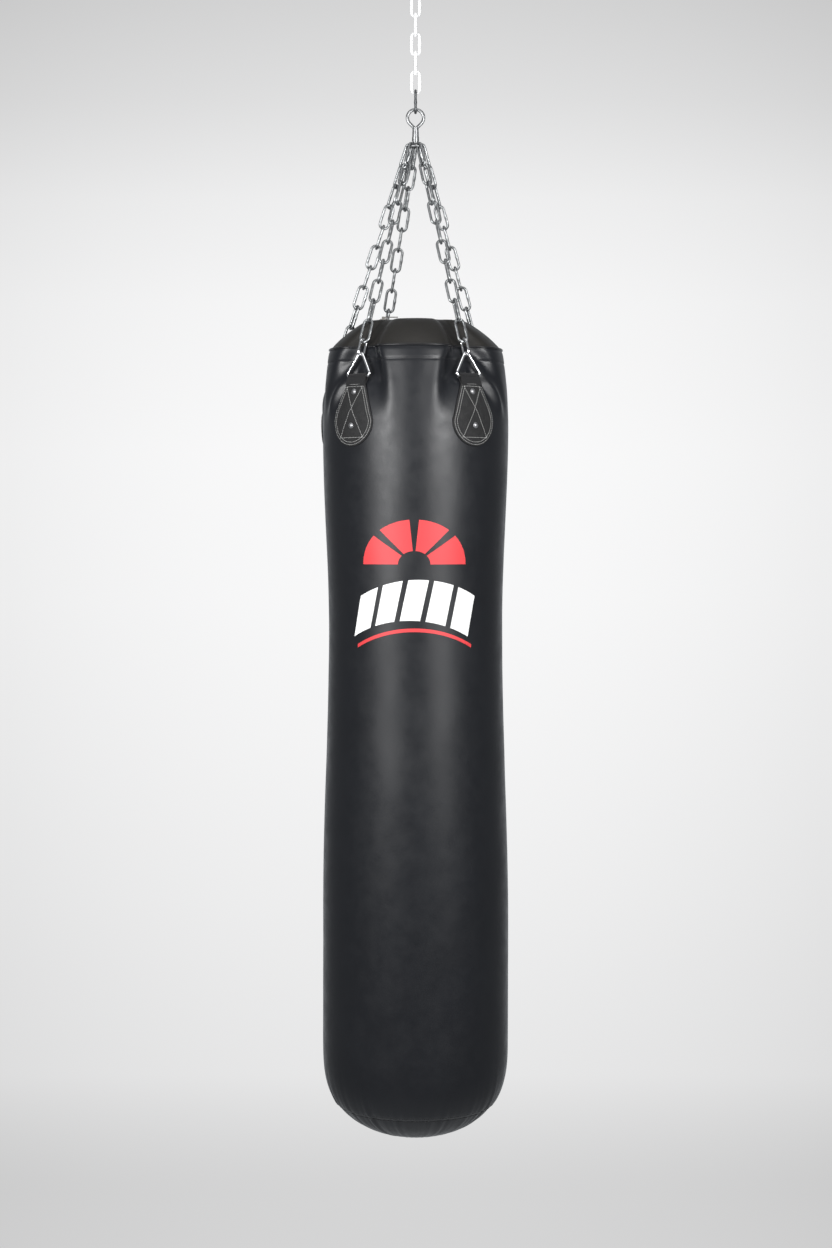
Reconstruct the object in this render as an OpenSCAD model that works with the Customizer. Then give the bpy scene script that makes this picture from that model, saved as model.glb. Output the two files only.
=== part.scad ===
/* [Bag] */
// Length of the filled bag, bottom to top of the lid
bag_length = 1535; // [1500:5:1560]
// Largest radius of the bag, at the belly
belly_r = 175; // [172:1:180]
// Radius at the waist, below the print
waist_r = 163; // [160:1:168]
// Radius at the chest, beside the strap patches
chest_r = 174; // [172:1:178]
// Radius of the round seam that closes the side wall at the top
top_seam_r = 162; // [160:1:165]
// Thickness of the coated cloth that the cover is sewn from
skin_t = 2.5; // [1.5:0.5:3]
// Thickness of the foam sleeve between cover and filling
foam_t = 12; // [8:1:15]

/* [Straps and legs] */
// Width of the webbing that holds each ring
webbing_w = 46; // [40:1:48]
// Width of a strap patch at its widest
patch_w = 94; // [80:1:96]
// Thickness of one layer of strap
strap_t = 3; // [2:0.5:3]
// Wire of the triangle rings
ring_wire = 5.2; // [4.5:0.1:5.5]
// Wire of the leg chains
leg_wire = 5; // [4.5:0.1:5]
// Clear width inside a leg link
leg_link_w = 12; // [11:0.5:12]
// Chain links in each leg
leg_links = 10; // [10]

/* [Top chain and fittings] */
// Clear length that each top link adds to the chain
top_pitch = 35.5; // [35:0.5:36]
// Wire of the top chain
top_wire = 5; // [4.5:0.1:5]
// Clear width inside a top link
top_link_w = 10; // [9:0.5:11]
// Side of the square ceiling plate
plate_w = 100; // [96:1:110]
// Distance between the plate's holes, along each side
plate_pitch = 76; // [70:1:78]
// Diameter of the plate's holes
plate_hole_d = 10.5; // [8.5:0.5:11]
// Wire of the snap hook and of the bow on the ceiling plate
hook_wire = 8; // [7:0.5:8]

/* [Hidden] */
$fn = 48;
TOP_LINKS = 7;
LEGS = ["front_left", "front_right", "back_right", "back_left_inner", "back_left_outer"];

gap = 0.2;                  // free play between two wires that hang in each other
lap = 0.2;                  // how far a straight wire runs into the bend that it joins
ease = 0.02;                // how much thinner the straight wire is, so that it stays inside the bend
overall = 2270;             // ceiling to the lowest point of the bag
bottom_z = -overall;

// Ceiling fitting and snap hook
plate_t = 5;
bow_r = 15;                 // bend of the bow, to the middle of its wire
hook_inner_l = 64;
hook_bend = 15;
bow_z = -37.5;              // middle of the bow's lowest point
hook_top_z = bow_z + hook_wire + gap;
hook_mid_z = hook_top_z - (hook_inner_l + hook_wire) / 2;
hook_low_z = hook_top_z - hook_inner_l - hook_wire;
gate_low = -17;             // ends of the gate's opening, from the hook's middle
gate_high = 15;
gate_d = 6.4;
gate_pin_r = 1.25;
gate_play = 0.05;
ear_l = 3.2;                // hook's ears, from the pin up
gate_root = 5.6;            // gate's round part starts this far above its pin

// Top chain: contact heights, from the hook's lowest wire to the swivel's eye
first_contact_z = hook_low_z + hook_wire / 2;
function contact_z(i) = first_contact_z - (i - 1) * top_pitch;

// Swivel
eye_wire = 6.2;
eye_mean_r = 15.1;
eye_top_z = contact_z(TOP_LINKS + 1) + gap + eye_wire / 2;
eye_mid_z = eye_top_z - eye_mean_r;
eye_point_z = eye_mid_z - eye_mean_r * sqrt(2);
barrel_r = 6;
barrel_top_z = eye_point_z - 5;
barrel_l = 17.5;
barrel_low_z = barrel_top_z - barrel_l;
shank_r = 3;
cavity_r = 4.7;
cavity_top_z = barrel_top_z - 6.5;
shank_foot = 6.6;           // how far the shank reaches below the cavity's roof
shank_play = 0.05;
neck_l = 7.5;               // solid neck between the eye and the barrel
neck_gap = 0.3;
washer_r = 4.5;
washer_t = 1.8;
washer_play = 0.1;
nut_r = 4.3;
nut_t = 4.2;
nut_drop = 6.2;             // from the cavity's roof down to the nut's foot
collar_l = 8;
collar_lip = 0.6;
plug_t = 3;
crown_wire = 4.4;
crown_r = 12.5;
crown_z = barrel_low_z - 10;
foot_r = 5.6;               // plate under the barrel that carries the crown ring's arms
foot_t = 3.4;
arm_wire = 3;
CROWN_ARM_TURN = [-2, 66, 132, 212, 286];   // each arm stands between two first links

// Legs: strap places round the bag, in degrees from the front, positive to the right
LEG_TURN = [-41.5, 38, 124, -153, -109];
// Places of the legs on the crown ring
CROWN_TURN = [-38, 34, 108, 186, 252];
// How far each link turns from square-to-the-bag towards square-to-the-front
LINK_TWIST = [0, 0.25, 0.5, 0.75, 1, 1, 1, 0.85, 0.7, 0.45, 0];
first_link_w = 7;
connector_wire = 4.5;
connector_w = 11;
connector_l = 27;
ring_apex = [150, bottom_z + 1466.4];   // radius and height of the wire's middle
ring_bar_h = 1424;
ring_bar = [157, bottom_z + ring_bar_h];
ring_w = 58;

// Bag outline
bottom_round = 190;
belly_h = 400;
waist_h = 960;
chest_h = 1346;
top_seam_h = bag_length - 57;
bottom_seam_h = 66;
lid_power = 3.45;
bottom_power = 3.3;
scoop_r = 70;               // hollow that each taut strap pulls into the cover
scoop_turn = 20;
scoop_at = [147.2, bottom_z + 1424];
welt_d = 5;
bottom_welt_d = 3;

// Patches and rivets, as heights above the bag's bottom
patch_low_h = 1296;
patch_wide_h = 1343;
patch_top_h = 1412;
patch_bend_h = 1358;
patch_air = 0.6;
strap_lean = 0.21;          // inward lean of a taut strap for each mm of height
seat_edge = 1.5;            // room round a patch in its seat
rivet_d = 11;
RIVET_H = [1334, 1396];

// Filling zip in the lid
zip_l = 136;
zip_z = bottom_z + bag_length + 0.2;
tape_w = 13;
tape_t = 1.2;
tape_gap = 2.2;             // from the zip's middle to each tape
tooth_pitch = 4;
tooth = [1.6, 2.2, 1.4];
tooth_lap = 0.2;            // how far each tooth reaches past the middle
slider = [14, 10, 2];
slider_lift = 0.5;
slider_start = 2;
post = [6, 3, 2.4];
pull = [30, 8, 1.5];
pull_lift = 5;
pull_hole_d = 4;

function blend(a, b, t) = a + (b - a) * (1 - cos(180 * t)) / 2;
function side_r(h) =
    h < belly_h ? belly_r :
    h < waist_h ? blend(belly_r, waist_r, (h - belly_h) / (waist_h - belly_h)) :
    h < chest_h ? blend(waist_r, chest_r, (h - waist_h) / (chest_h - waist_h)) :
    chest_r - (chest_r - top_seam_r) * pow((h - chest_h) / (top_seam_h - chest_h), 2);
function bottom_r(h, t) =
    (belly_r - t) * sqrt(1 - pow(1 - (h - t) / (bottom_round - t), bottom_power));
function cover_r(h) = h < bottom_round ? bottom_r(h, 0) : side_r(h);
function lid_h(r, t) =
    top_seam_h + (bag_length - t - top_seam_h) * (1 - pow(r / (top_seam_r - t), lid_power));
function bottom_steps(t) = [for (s = [0:0.1:0.9]) t + (bottom_round - t) * s * s];
function lid_steps(t) = [for (s = [1:-0.1:0.3]) (top_seam_r - t) * sqrt(s)];
function bag_outline(t) = concat(
    [for (h = bottom_steps(t)) [bottom_r(h, t), h]],
    [for (h = [bottom_round:48:top_seam_h - 24]) [side_r(h) - t, h]],
    [for (r = lid_steps(t)) [r, lid_h(r, t)]],
    [[0, bag_length - t]]);

function around(turn) = [sin(turn), -cos(turn), 0];
function unit(v) = v / norm(v);
function place(turn, at) = around(turn) * at[0] + [0, 0, at[1]];
function leg_start(k) = place(CROWN_TURN[k], [crown_r, crown_z]);
function leg_end(k) = place(LEG_TURN[k], ring_apex);
function leg_length(k) = norm(leg_end(k) - leg_start(k));
function leg_way(k) = unit(leg_end(k) - leg_start(k));
function leg_pitch(k) =
    (leg_length(k) + ring_wire / 2 + crown_wire / 2 + gap - connector_l) / leg_links;
function square_to(v, way) = unit(v - way * (v * way));
function sideways(k) = let (v = around(LEG_TURN[k] + 90)) v[0] < 0 ? -v : v;
function link_width_way(k, i) = let (
    way = leg_way(k),
    flat = square_to(sideways(k), way),
    front = square_to([1, 0, 0], way),
    turned = square_to(flat + (front - flat) * LINK_TWIST[i], way))
    i % 2 == 1 ? turned : cross(way, turned);

// A straight wire from a to b, which runs a little into what it joins at both ends
module rod(a, b, d) {
    v = b - a;
    translate(a - unit(v) * lap)
        rotate([0, acos(v[2] / norm(v)), atan2(v[1], v[0])])
            cylinder(d = d - ease, h = norm(v) + 2 * lap);
}

// Part of a ring of wire in the XZ plane, from one angle to another
module bend(mean_r, d, from, to) {
    rotate([90, 0, 0])
        rotate([0, 0, from])
            rotate_extrude(angle = to - from)
                translate([mean_r, 0])
                    circle(d = d);
}

// A chain link in the XZ plane, round its own middle
module link(inner_l, inner_w, d) {
    mean_r = (inner_w + d) / 2;
    straight = inner_l - inner_w;
    translate([0, 0, straight / 2]) bend(mean_r, d, 0, 180);
    translate([0, 0, -straight / 2]) bend(mean_r, d, 180, 360);
    for (side = [-1, 1])
        rod([side * mean_r, 0, -straight / 2], [side * mean_r, 0, straight / 2], d);
}

// Turns the XZ plane so that X lies along across and Z along up
module turned_to(at, across, up) {
    back = cross(up, across);
    multmatrix([
        [across[0], back[0], up[0], at[0]],
        [across[1], back[1], up[1], at[1]],
        [across[2], back[2], up[2], at[2]],
        [0, 0, 0, 1]])
        children();
}

module strap_frame(k) {
    rotate([0, 0, LEG_TURN[k] - 90]) children();
}

module ceiling_plate() {
    color("silver")
        translate([0, 0, -plate_t])
            difference() {
                linear_extrude(plate_t) plate_outline();
                for (x = [-1, 1], y = [-1, 1])
                    translate([x * plate_pitch / 2, y * plate_pitch / 2, -1])
                        cylinder(d = plate_hole_d, h = plate_t + 2);
            }
}

module plate_outline() {
    corner = 10;
    square([plate_w - 2 * corner, plate_w], center = true);
    square([plate_w, plate_w - 2 * corner], center = true);
    for (x = [-1, 1], y = [-1, 1])
        translate([x * (plate_w / 2 - corner), y * (plate_w / 2 - corner)])
            circle(r = corner);
}

module ceiling_bow() {
    color("silver")
        rotate([0, 0, 90]) {
            translate([0, 0, bow_z + bow_r]) bend(bow_r, hook_wire, 180, 360);
            for (side = [-1, 1])
                rod([side * bow_r, 0, bow_z + bow_r], [side * bow_r, 0, -plate_t - lap], hook_wire);
        }
}

module snap_hook() {
    reach = hook_inner_l / 2 + hook_wire / 2 - hook_bend;
    color("silver")
        translate([0, 0, hook_mid_z])
            difference() {
                union() {
                    translate([0, 0, reach]) bend(hook_bend, hook_wire, 0, 180);
                    translate([0, 0, -reach]) bend(hook_bend, hook_wire, 180, 360);
                    rod([-hook_bend, 0, -reach], [-hook_bend, 0, reach], hook_wire);
                    rod([hook_bend, 0, -reach], [hook_bend, 0, gate_low + ear_l], hook_wire);
                    rod([hook_bend, 0, gate_high - 4], [hook_bend, 0, reach], hook_wire);
                }
                translate([hook_bend - 10, -2.2, gate_low - 4.5]) cube([20, 4.4, 9]);
                translate([hook_bend - 10, -1.7, gate_high - 4.5]) cube([20, 3.4, 6]);
                translate([hook_bend, 0, gate_low])
                    rotate([90, 0, 0])
                        cylinder(r = gate_pin_r, h = 20, center = true);
            }
}

module hook_gate() {
    color("gainsboro")
        translate([hook_bend, 0, hook_mid_z])
            difference() {
                union() {
                    translate([0, 0, gate_low + gate_root])
                        cylinder(d = gate_d, h = gate_high - gate_low - gate_root - 4.6);
                    translate([0, 0, gate_low])
                        rotate([90, 0, 0])
                            cylinder(r = 2.8, h = 4, center = true);
                    translate([-2.4, -2, gate_low]) cube([4.8, 4, gate_root + 0.4]);
                    translate([-2.4, -1.4, gate_high - 5]) cube([4.8, 2.8, 5.5]);
                }
                translate([0, 0, gate_low])
                    rotate([90, 0, 0])
                        cylinder(r = gate_pin_r + gate_play, h = 20, center = true);
            }
}

module gate_pin() {
    color("silver")
        translate([hook_bend, 0, hook_mid_z + gate_low])
            rotate([90, 0, 0])
                cylinder(r = gate_pin_r, h = hook_wire - 0.6, center = true);
}

module top_link(i) {
    color("silver")
        translate([0, 0, contact_z(i) + gap - (top_pitch + gap) / 2])
            rotate([0, 0, i % 2 == 1 ? 90 : 0])
                link(top_pitch + gap, top_link_w, top_wire);
}

module swivel_eye() {
    color("silver") {
        translate([0, 0, eye_mid_z]) bend(eye_mean_r, eye_wire, -45, 225);
        for (side = [-1, 1])
            rod([side * eye_mean_r / sqrt(2), 0, eye_mid_z - eye_mean_r / sqrt(2)],
                [side * 0.2, 0, eye_point_z + 0.2], eye_wire);
        translate([0, 0, barrel_top_z + neck_gap]) cylinder(r = barrel_r - neck_gap, h = neck_l);
        translate([0, 0, cavity_top_z - shank_foot])
            cylinder(r = shank_r, h = barrel_top_z - cavity_top_z + shank_foot + 1);
    }
}

module swivel_nut() {
    color("silver")
        translate([0, 0, cavity_top_z - nut_drop])
            difference() {
                cylinder(r = nut_r, h = nut_t);
                translate([0, 0, -1]) cylinder(r = shank_r, h = nut_t + 2);
            }
}

module thrust_washer() {
    color("goldenrod")
        translate([0, 0, cavity_top_z - washer_t])
            difference() {
                cylinder(r = washer_r, h = washer_t);
                translate([0, 0, -1]) cylinder(r = shank_r + washer_play, h = washer_t + 2);
            }
}

module swivel_barrel() {
    color("silver")
        difference() {
            union() {
                translate([0, 0, barrel_low_z]) cylinder(r = barrel_r, h = barrel_l);
                translate([0, 0, barrel_low_z]) cylinder(r = barrel_r + collar_lip, h = collar_l);
            }
            translate([0, 0, barrel_low_z - 1]) cylinder(r = cavity_r, h = cavity_top_z - barrel_low_z + 1);
            translate([0, 0, barrel_low_z]) cylinder(r = shank_r + shank_play, h = barrel_l + 1);
        }
}

module crown_ring() {
    color("silver") {
        translate([0, 0, crown_z])
            rotate_extrude()
                translate([crown_r, 0])
                    circle(d = crown_wire);
        for (turn = CROWN_ARM_TURN)
            rod(place(turn, [arm_wire, barrel_low_z - 2]), place(turn, [crown_r, crown_z]), arm_wire);
        translate([0, 0, barrel_low_z]) cylinder(r = cavity_r, h = plug_t);
        translate([0, 0, barrel_low_z - foot_t]) cylinder(r = foot_r, h = foot_t);
    }
}

module leg_chain(k) {
    way = leg_way(k);
    pitch = leg_pitch(k);
    color("silver")
        for (i = [0:leg_links - 1])
            turned_to(leg_start(k) + way * (pitch * (i + 0.5) - crown_wire / 2 - gap / 2),
                      link_width_way(k, i), -way)
                link(pitch + gap, i == 0 ? first_link_w : leg_link_w, leg_wire);
}

module connector_link(k) {
    way = leg_way(k);
    middle = leg_length(k) + ring_wire / 2 + gap - (connector_l + gap) / 2;
    color("gainsboro")
        turned_to(leg_start(k) + way * middle, link_width_way(k, leg_links), -way)
            link(connector_l + gap, connector_w, connector_wire);
}

// Ring in the strap's own frame: X outwards, Y along the bag's skin
module triangle_ring(k) {
    lean = atan2(ring_bar[0] - ring_apex[0], ring_apex[1] - ring_bar[1]);
    tall = norm(ring_apex - ring_bar);
    half = (ring_w - ring_wire) / 2;
    corner = 5;
    top_corner = 6.5;
    left_mid = [-half + corner, corner];
    top_mid = [0, tall - top_corner];
    reach = norm(top_mid - left_mid);
    side = atan2(top_mid[1] - left_mid[1], top_mid[0] - left_mid[0])
        + asin((top_corner - corner) / reach);
    color("gainsboro")
        strap_frame(k)
            translate([ring_bar[0], 0, ring_bar[1]])
                rotate([0, -lean, 0])
                    rotate([0, 0, 90]) {
                        for (m = [0, 1])
                            mirror([m, 0, 0]) {
                                translate([left_mid[0], 0, left_mid[1]])
                                    bend(corner, ring_wire, 90 + side, 270);
                                rod([left_mid[0] - corner * sin(side), 0,
                                     left_mid[1] + corner * cos(side)],
                                    [top_mid[0] - top_corner * sin(side), 0,
                                     top_mid[1] + top_corner * cos(side)], ring_wire);
                            }
                        translate([top_mid[0], 0, top_mid[1]])
                            bend(top_corner, ring_wire, 90 - side, 90 + side);
                        rod([left_mid[0], 0, 0], [-left_mid[0], 0, 0], ring_wire);
                    }
}

// Radius of the face that a strap lies on: the cover's, and above the bend a straight lean inwards
function strap_outer(h) = h < patch_bend_h ? cover_r(h) + patch_air
    : cover_r(patch_bend_h) + patch_air - (h - patch_bend_h) * strap_lean;
module strap_band(thick, low_h, high_h) {
    steps = [low_h, (low_h + patch_bend_h) / 2, patch_bend_h, high_h];
    translate([0, 0, bottom_z])
        rotate_extrude()
            polygon(concat(
                [for (h = steps) [strap_outer(h), h]],
                [for (i = [3:-1:0]) [strap_outer(steps[i]) + thick, steps[i]]]));
}

// A patch has a round lower end under a tapered upper half
module patch_outline() {
    wide = patch_w / 2;
    narrow = webbing_w / 2;
    low_r = patch_wide_h - patch_low_h;
    translate([0, patch_wide_h])
        polygon([for (a = [0:10:350]) [wide * cos(a), low_r * sin(a)]]);
    polygon([[-wide + 0.3, patch_wide_h + 2], [wide - 0.3, patch_wide_h + 2],
             [narrow, patch_top_h], [-narrow, patch_top_h]]);
}

module strap_patch(k) {
    color("#1c1c1c")
        strap_frame(k)
            difference() {
                intersection() {
                    strap_band(strap_t, patch_low_h - 5, patch_top_h + 5);
                    translate([120, 0, bottom_z])
                        rotate([90, 0, 90])
                            linear_extrude(80) patch_outline();
                }
                for (h = RIVET_H) rivet_place(h) cylinder(d = 4, h = 40, center = true);
            }
}

// Z points straight out of the patch at a rivet's place
module rivet_place(h) {
    translate([strap_outer(h) + strap_t, 0, bottom_z + h])
        rotate([0, 90 - (h > patch_bend_h ? 12 : 0), 0])
            children();
}

// The webbing comes up over the patch's top edge and closes round the ring's lower bar
module strap_webbing(k) {
    eye_r = ring_wire / 2 + gap;
    wide = webbing_w - 2;
    foot = [strap_outer(patch_top_h) + strap_t / 2 - ring_bar[0], patch_top_h + gap - ring_bar_h];
    foot_in = foot[0] - 2.5;
    foot_out = foot[0] + 1.5;
    shoulder = 4.4;
    color("#161616")
        strap_frame(k)
            translate([ring_bar[0], wide / 2, ring_bar[1]])
                rotate([90, 0, 0])
                    difference() {
                        union() {
                            cylinder(r = eye_r + strap_t, h = wide);
                            linear_extrude(wide)
                                polygon([[-shoulder, 0], [shoulder, 0],
                                         [foot_out, foot[1]], [foot_in, foot[1]]]);
                        }
                        translate([0, 0, -1]) cylinder(r = eye_r, h = wide + 2);
                    }
}

module strap_rivets() {
    color("gainsboro")
        for (k = [0:len(LEGS) - 1], h = RIVET_H)
            strap_frame(k)
                rivet_place(h) {
                    intersection() {
                        translate([0, 0, -6]) sphere(r = 8.2);
                        translate([0, 0, 0.05]) cylinder(d = rivet_d, h = 5);
                    }
                    translate([0, 0, -strap_t]) cylinder(d = 4, h = strap_t + 0.5);
                }
}

// The bag's outer form, t inside its skin
module bag_body(t, seats = true) {
    difference() {
        translate([0, 0, bottom_z]) rotate_extrude() polygon(bag_outline(t));
        strap_scoops(t);
        if (seats) patch_seats(t);
    }
}

// The cover lies flat behind the upper half of each patch
module patch_seats(t) {
    low_h = patch_bend_h;
    high_h = patch_top_h + seat_edge + t;
    wide = patch_w / 2 + seat_edge + t;
    narrow = webbing_w / 2 + seat_edge + t;
    for (k = [0:len(LEGS) - 1])
        strap_frame(k)
            translate([0, 0, bottom_z])
                intersection() {
                    rotate_extrude()
                        polygon([[strap_outer(low_h) - patch_air - t, low_h],
                                 [strap_outer(high_h) - patch_air - t, high_h],
                                 [belly_r + 5, high_h], [belly_r + 5, low_h]]);
                    translate([100, 0, 0])
                        rotate([90, 0, 90])
                            linear_extrude(100)
                                polygon([[-wide, low_h - 1], [wide, low_h - 1],
                                         [narrow, high_h + 1], [-narrow, high_h + 1]]);
                }
}

module strap_scoops(t) {
    for (k = [0:len(LEGS) - 1])
        strap_frame(k)
            translate([scoop_at[0], 0, scoop_at[1]])
                rotate([0, -scoop_turn, 0])
                    translate([scoop_r, 0, -110])
                        cylinder(r = scoop_r + t, h = 330, $fn = 96);
}

module slab(low_h, high_h) {
    translate([-250, -250, bottom_z + low_h]) cube([500, 500, high_h - low_h]);
}

module skin(low_h, high_h) {
    difference() {
        intersection() {
            bag_body(0);
            slab(low_h, high_h);
        }
        bag_body(skin_t);
    }
}

module bag_shell() {
    color("#17181b") skin(bottom_seam_h, top_seam_h);
}

module top_lid() {
    color("#202022")
        difference() {
            skin(top_seam_h, bag_length + 5);
            translate([-zip_l / 2, -2, bottom_z + bag_length - 8]) cube([zip_l, 4, 20]);
        }
}

module bottom_panel() {
    color("#17181b") skin(-5, bottom_seam_h);
}

module foam_sleeve() {
    color("#c8bb8a")
        difference() {
            bag_body(skin_t + 0.3);
            bag_body(skin_t + 0.3 + foam_t, seats = false);
            slab(top_seam_h - 20, bag_length + 5);
        }
}

module filling() {
    color("#7a6f66")
        difference() {
            bag_body(skin_t + 0.6 + foam_t, seats = false);
            slab(bag_length - 24, bag_length + 5);
        }
}

module top_welt() {
    color("#101012")
        difference() {
            translate([0, 0, bottom_z + top_seam_h])
                rotate_extrude()
                    translate([top_seam_r + welt_d / 2 + 0.1, 0])
                        circle(d = welt_d);
            strap_scoops(0.3);
        }
}

module bottom_welt() {
    color("#101012")
        translate([0, 0, bottom_z + bottom_seam_h])
            rotate_extrude()
                translate([cover_r(bottom_seam_h) + bottom_welt_d / 2 + 1, 0])
                    circle(d = bottom_welt_d);
}

module zip_tape() {
    color("#0e0e10")
        for (side = [-1, 1])
            translate([-zip_l / 2, side > 0 ? tape_gap : -tape_gap - tape_w, zip_z])
                cube([zip_l, tape_w, tape_t]);
}

module zip_teeth() {
    count = floor(zip_l / tooth_pitch);
    color("#55504a")
        for (i = [0:count - 1])
            translate([-zip_l / 2 + i * tooth_pitch + 1,
                       i % 2 == 0 ? tooth_lap - tooth[1] : -tooth_lap, zip_z + 0.1])
                cube(tooth);
}

module zip_slider() {
    color("silver")
        translate([-zip_l / 2 + slider_start, -slider[1] / 2, zip_z + tape_t + slider_lift]) {
            cube(slider);
            translate([3, (slider[1] - post[1]) / 2, slider[2]]) cube(post);
        }
}

module zip_pull() {
    color("silver")
        translate([-zip_l / 2 + slider_start + slider[0] / 2, 0, zip_z + tape_t + pull_lift])
            difference() {
                translate([-4, -pull[1] / 2, 0]) cube(pull);
                translate([pull[0] - 8, 0, -1]) cylinder(d = pull_hole_d, h = pull[2] + 2);
            }
}

ceiling_plate();
ceiling_bow();
snap_hook();
hook_gate();
gate_pin();
top_link(1);  // top_link_1
top_link(2);  // top_link_2
top_link(3);  // top_link_3
top_link(4);  // top_link_4
top_link(5);  // top_link_5
top_link(6);  // top_link_6
top_link(7);  // top_link_7
swivel_eye();
swivel_nut();
thrust_washer();
swivel_barrel();
crown_ring();
leg_chain(0);  // leg_chain_front_left
leg_chain(1);  // leg_chain_front_right
leg_chain(2);  // leg_chain_back_right
leg_chain(3);  // leg_chain_back_left_inner
leg_chain(4);  // leg_chain_back_left_outer
connector_link(0);  // connector_link_front_left
connector_link(1);  // connector_link_front_right
connector_link(2);  // connector_link_back_right
connector_link(3);  // connector_link_back_left_inner
connector_link(4);  // connector_link_back_left_outer
triangle_ring(0);  // triangle_ring_front_left
triangle_ring(1);  // triangle_ring_front_right
triangle_ring(2);  // triangle_ring_back_right
triangle_ring(3);  // triangle_ring_back_left_inner
triangle_ring(4);  // triangle_ring_back_left_outer
strap_webbing(0);  // strap_webbing_front_left
strap_webbing(1);  // strap_webbing_front_right
strap_webbing(2);  // strap_webbing_back_right
strap_webbing(3);  // strap_webbing_back_left_inner
strap_webbing(4);  // strap_webbing_back_left_outer
strap_patch(0);  // strap_patch_front_left
strap_patch(1);  // strap_patch_front_right
strap_patch(2);  // strap_patch_back_right
strap_patch(3);  // strap_patch_back_left_inner
strap_patch(4);  // strap_patch_back_left_outer
strap_rivets();
bag_shell();
top_lid();
bottom_panel();
top_welt();
bottom_welt();
foam_sleeve();
filling();
zip_tape();
zip_teeth();
zip_slider();
zip_pull();
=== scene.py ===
"""The looks of a hanging punching bag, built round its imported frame.

Sizes are in metres. Heights on the bag are measured from its lowest point, and turns are degrees
round the bag from the front, positive to the right of a viewer in front.
"""

import logging
import math
from dataclasses import dataclass, field
from enum import Enum
from typing import Sequence

import bmesh
import bpy
import numpy as np
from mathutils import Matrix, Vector


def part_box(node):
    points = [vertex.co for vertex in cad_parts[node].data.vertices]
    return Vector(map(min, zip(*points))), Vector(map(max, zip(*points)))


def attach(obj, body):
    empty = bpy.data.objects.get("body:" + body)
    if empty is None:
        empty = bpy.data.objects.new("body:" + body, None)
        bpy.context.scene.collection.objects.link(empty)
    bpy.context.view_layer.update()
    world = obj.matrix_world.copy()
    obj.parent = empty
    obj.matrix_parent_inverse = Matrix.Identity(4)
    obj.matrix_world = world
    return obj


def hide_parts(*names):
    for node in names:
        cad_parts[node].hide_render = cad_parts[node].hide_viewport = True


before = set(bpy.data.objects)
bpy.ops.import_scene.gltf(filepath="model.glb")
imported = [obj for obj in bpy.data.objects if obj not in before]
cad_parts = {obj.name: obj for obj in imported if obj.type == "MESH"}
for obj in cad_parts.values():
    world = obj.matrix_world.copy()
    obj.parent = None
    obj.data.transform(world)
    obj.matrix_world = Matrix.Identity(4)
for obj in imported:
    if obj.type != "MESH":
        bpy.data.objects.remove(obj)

LOG = logging.getLogger("punching_bag")
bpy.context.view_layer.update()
SEED = 7
JOINED_SHARP = 60.0

Point = Sequence[float]


class Strap(Enum):
    """The five straps, by the name of their CAD nodes."""

    FRONT_LEFT = "front_left"
    FRONT_RIGHT = "front_right"
    BACK_RIGHT = "back_right"
    BACK_LEFT_INNER = "back_left_inner"
    BACK_LEFT_OUTER = "back_left_outer"


# Place of each strap round the bag, and of its leg on the crown ring
STRAP_TURN = {
    Strap.FRONT_LEFT: -41.5,
    Strap.FRONT_RIGHT: 38.0,
    Strap.BACK_RIGHT: 124.0,
    Strap.BACK_LEFT_INNER: -153.0,
    Strap.BACK_LEFT_OUTER: -109.0,
}
CROWN_TURN = {
    Strap.FRONT_LEFT: -38.0,
    Strap.FRONT_RIGHT: 34.0,
    Strap.BACK_RIGHT: 108.0,
    Strap.BACK_LEFT_INNER: 186.0,
    Strap.BACK_LEFT_OUTER: 252.0,
}


# ---------------------------------------------------------------------------------------------
# Node trees and shaders
# ---------------------------------------------------------------------------------------------


class Nodes:
    """A node tree under construction, with short calls for its nodes."""

    def __init__(self, tree: bpy.types.NodeTree) -> None:
        """Keeps the tree."""
        self.tree = tree

    def node(self, kind: str, inputs: dict | None = None, **settings: object) -> bpy.types.Node:
        """Adds a node.

        Args:
            kind: Blender's name for the type of node.
            inputs: values or sockets by the name or number of the input that takes them.
            settings: attributes of the node.

        Returns:
            The new node.
        """
        made = self.tree.nodes.new(kind)
        for key, value in settings.items():
            setattr(made, key, value)
        for key, value in (inputs or {}).items():
            if isinstance(value, bpy.types.NodeSocket):
                self.tree.links.new(value, made.inputs[key])
            else:
                made.inputs[key].default_value = value
        return made

    def math(self, operation: str, first: object, second: object = 0.0) -> bpy.types.NodeSocket:
        """Joins two patterns, or a pattern and a number, by a rule of arithmetic."""
        return self.node("ShaderNodeMath", {0: first, 1: second}, operation=operation).outputs[0]

    def spread(
        self,
        value: bpy.types.NodeSocket,
        low: float,
        high: float,
        start: float = 0.0,
        end: float = 1.0,
    ) -> bpy.types.NodeSocket:
        """Maps a pattern's range start to end onto low to high.

        Args:
            value: the pattern.
            low: result at start.
            high: result at end.
            start: the pattern's value that gives low.
            end: the pattern's value that gives high.

        Returns:
            The socket that carries the result.
        """
        made = self.node(
            "ShaderNodeMapRange",
            {"Value": value, "From Min": start, "From Max": end, "To Min": low, "To Max": high},
        )
        return made.outputs["Result"]


def scaled(colour: Point, factor: float) -> Point:
    """A colour made lighter or darker."""
    return tuple(channel * factor for channel in colour)


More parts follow.
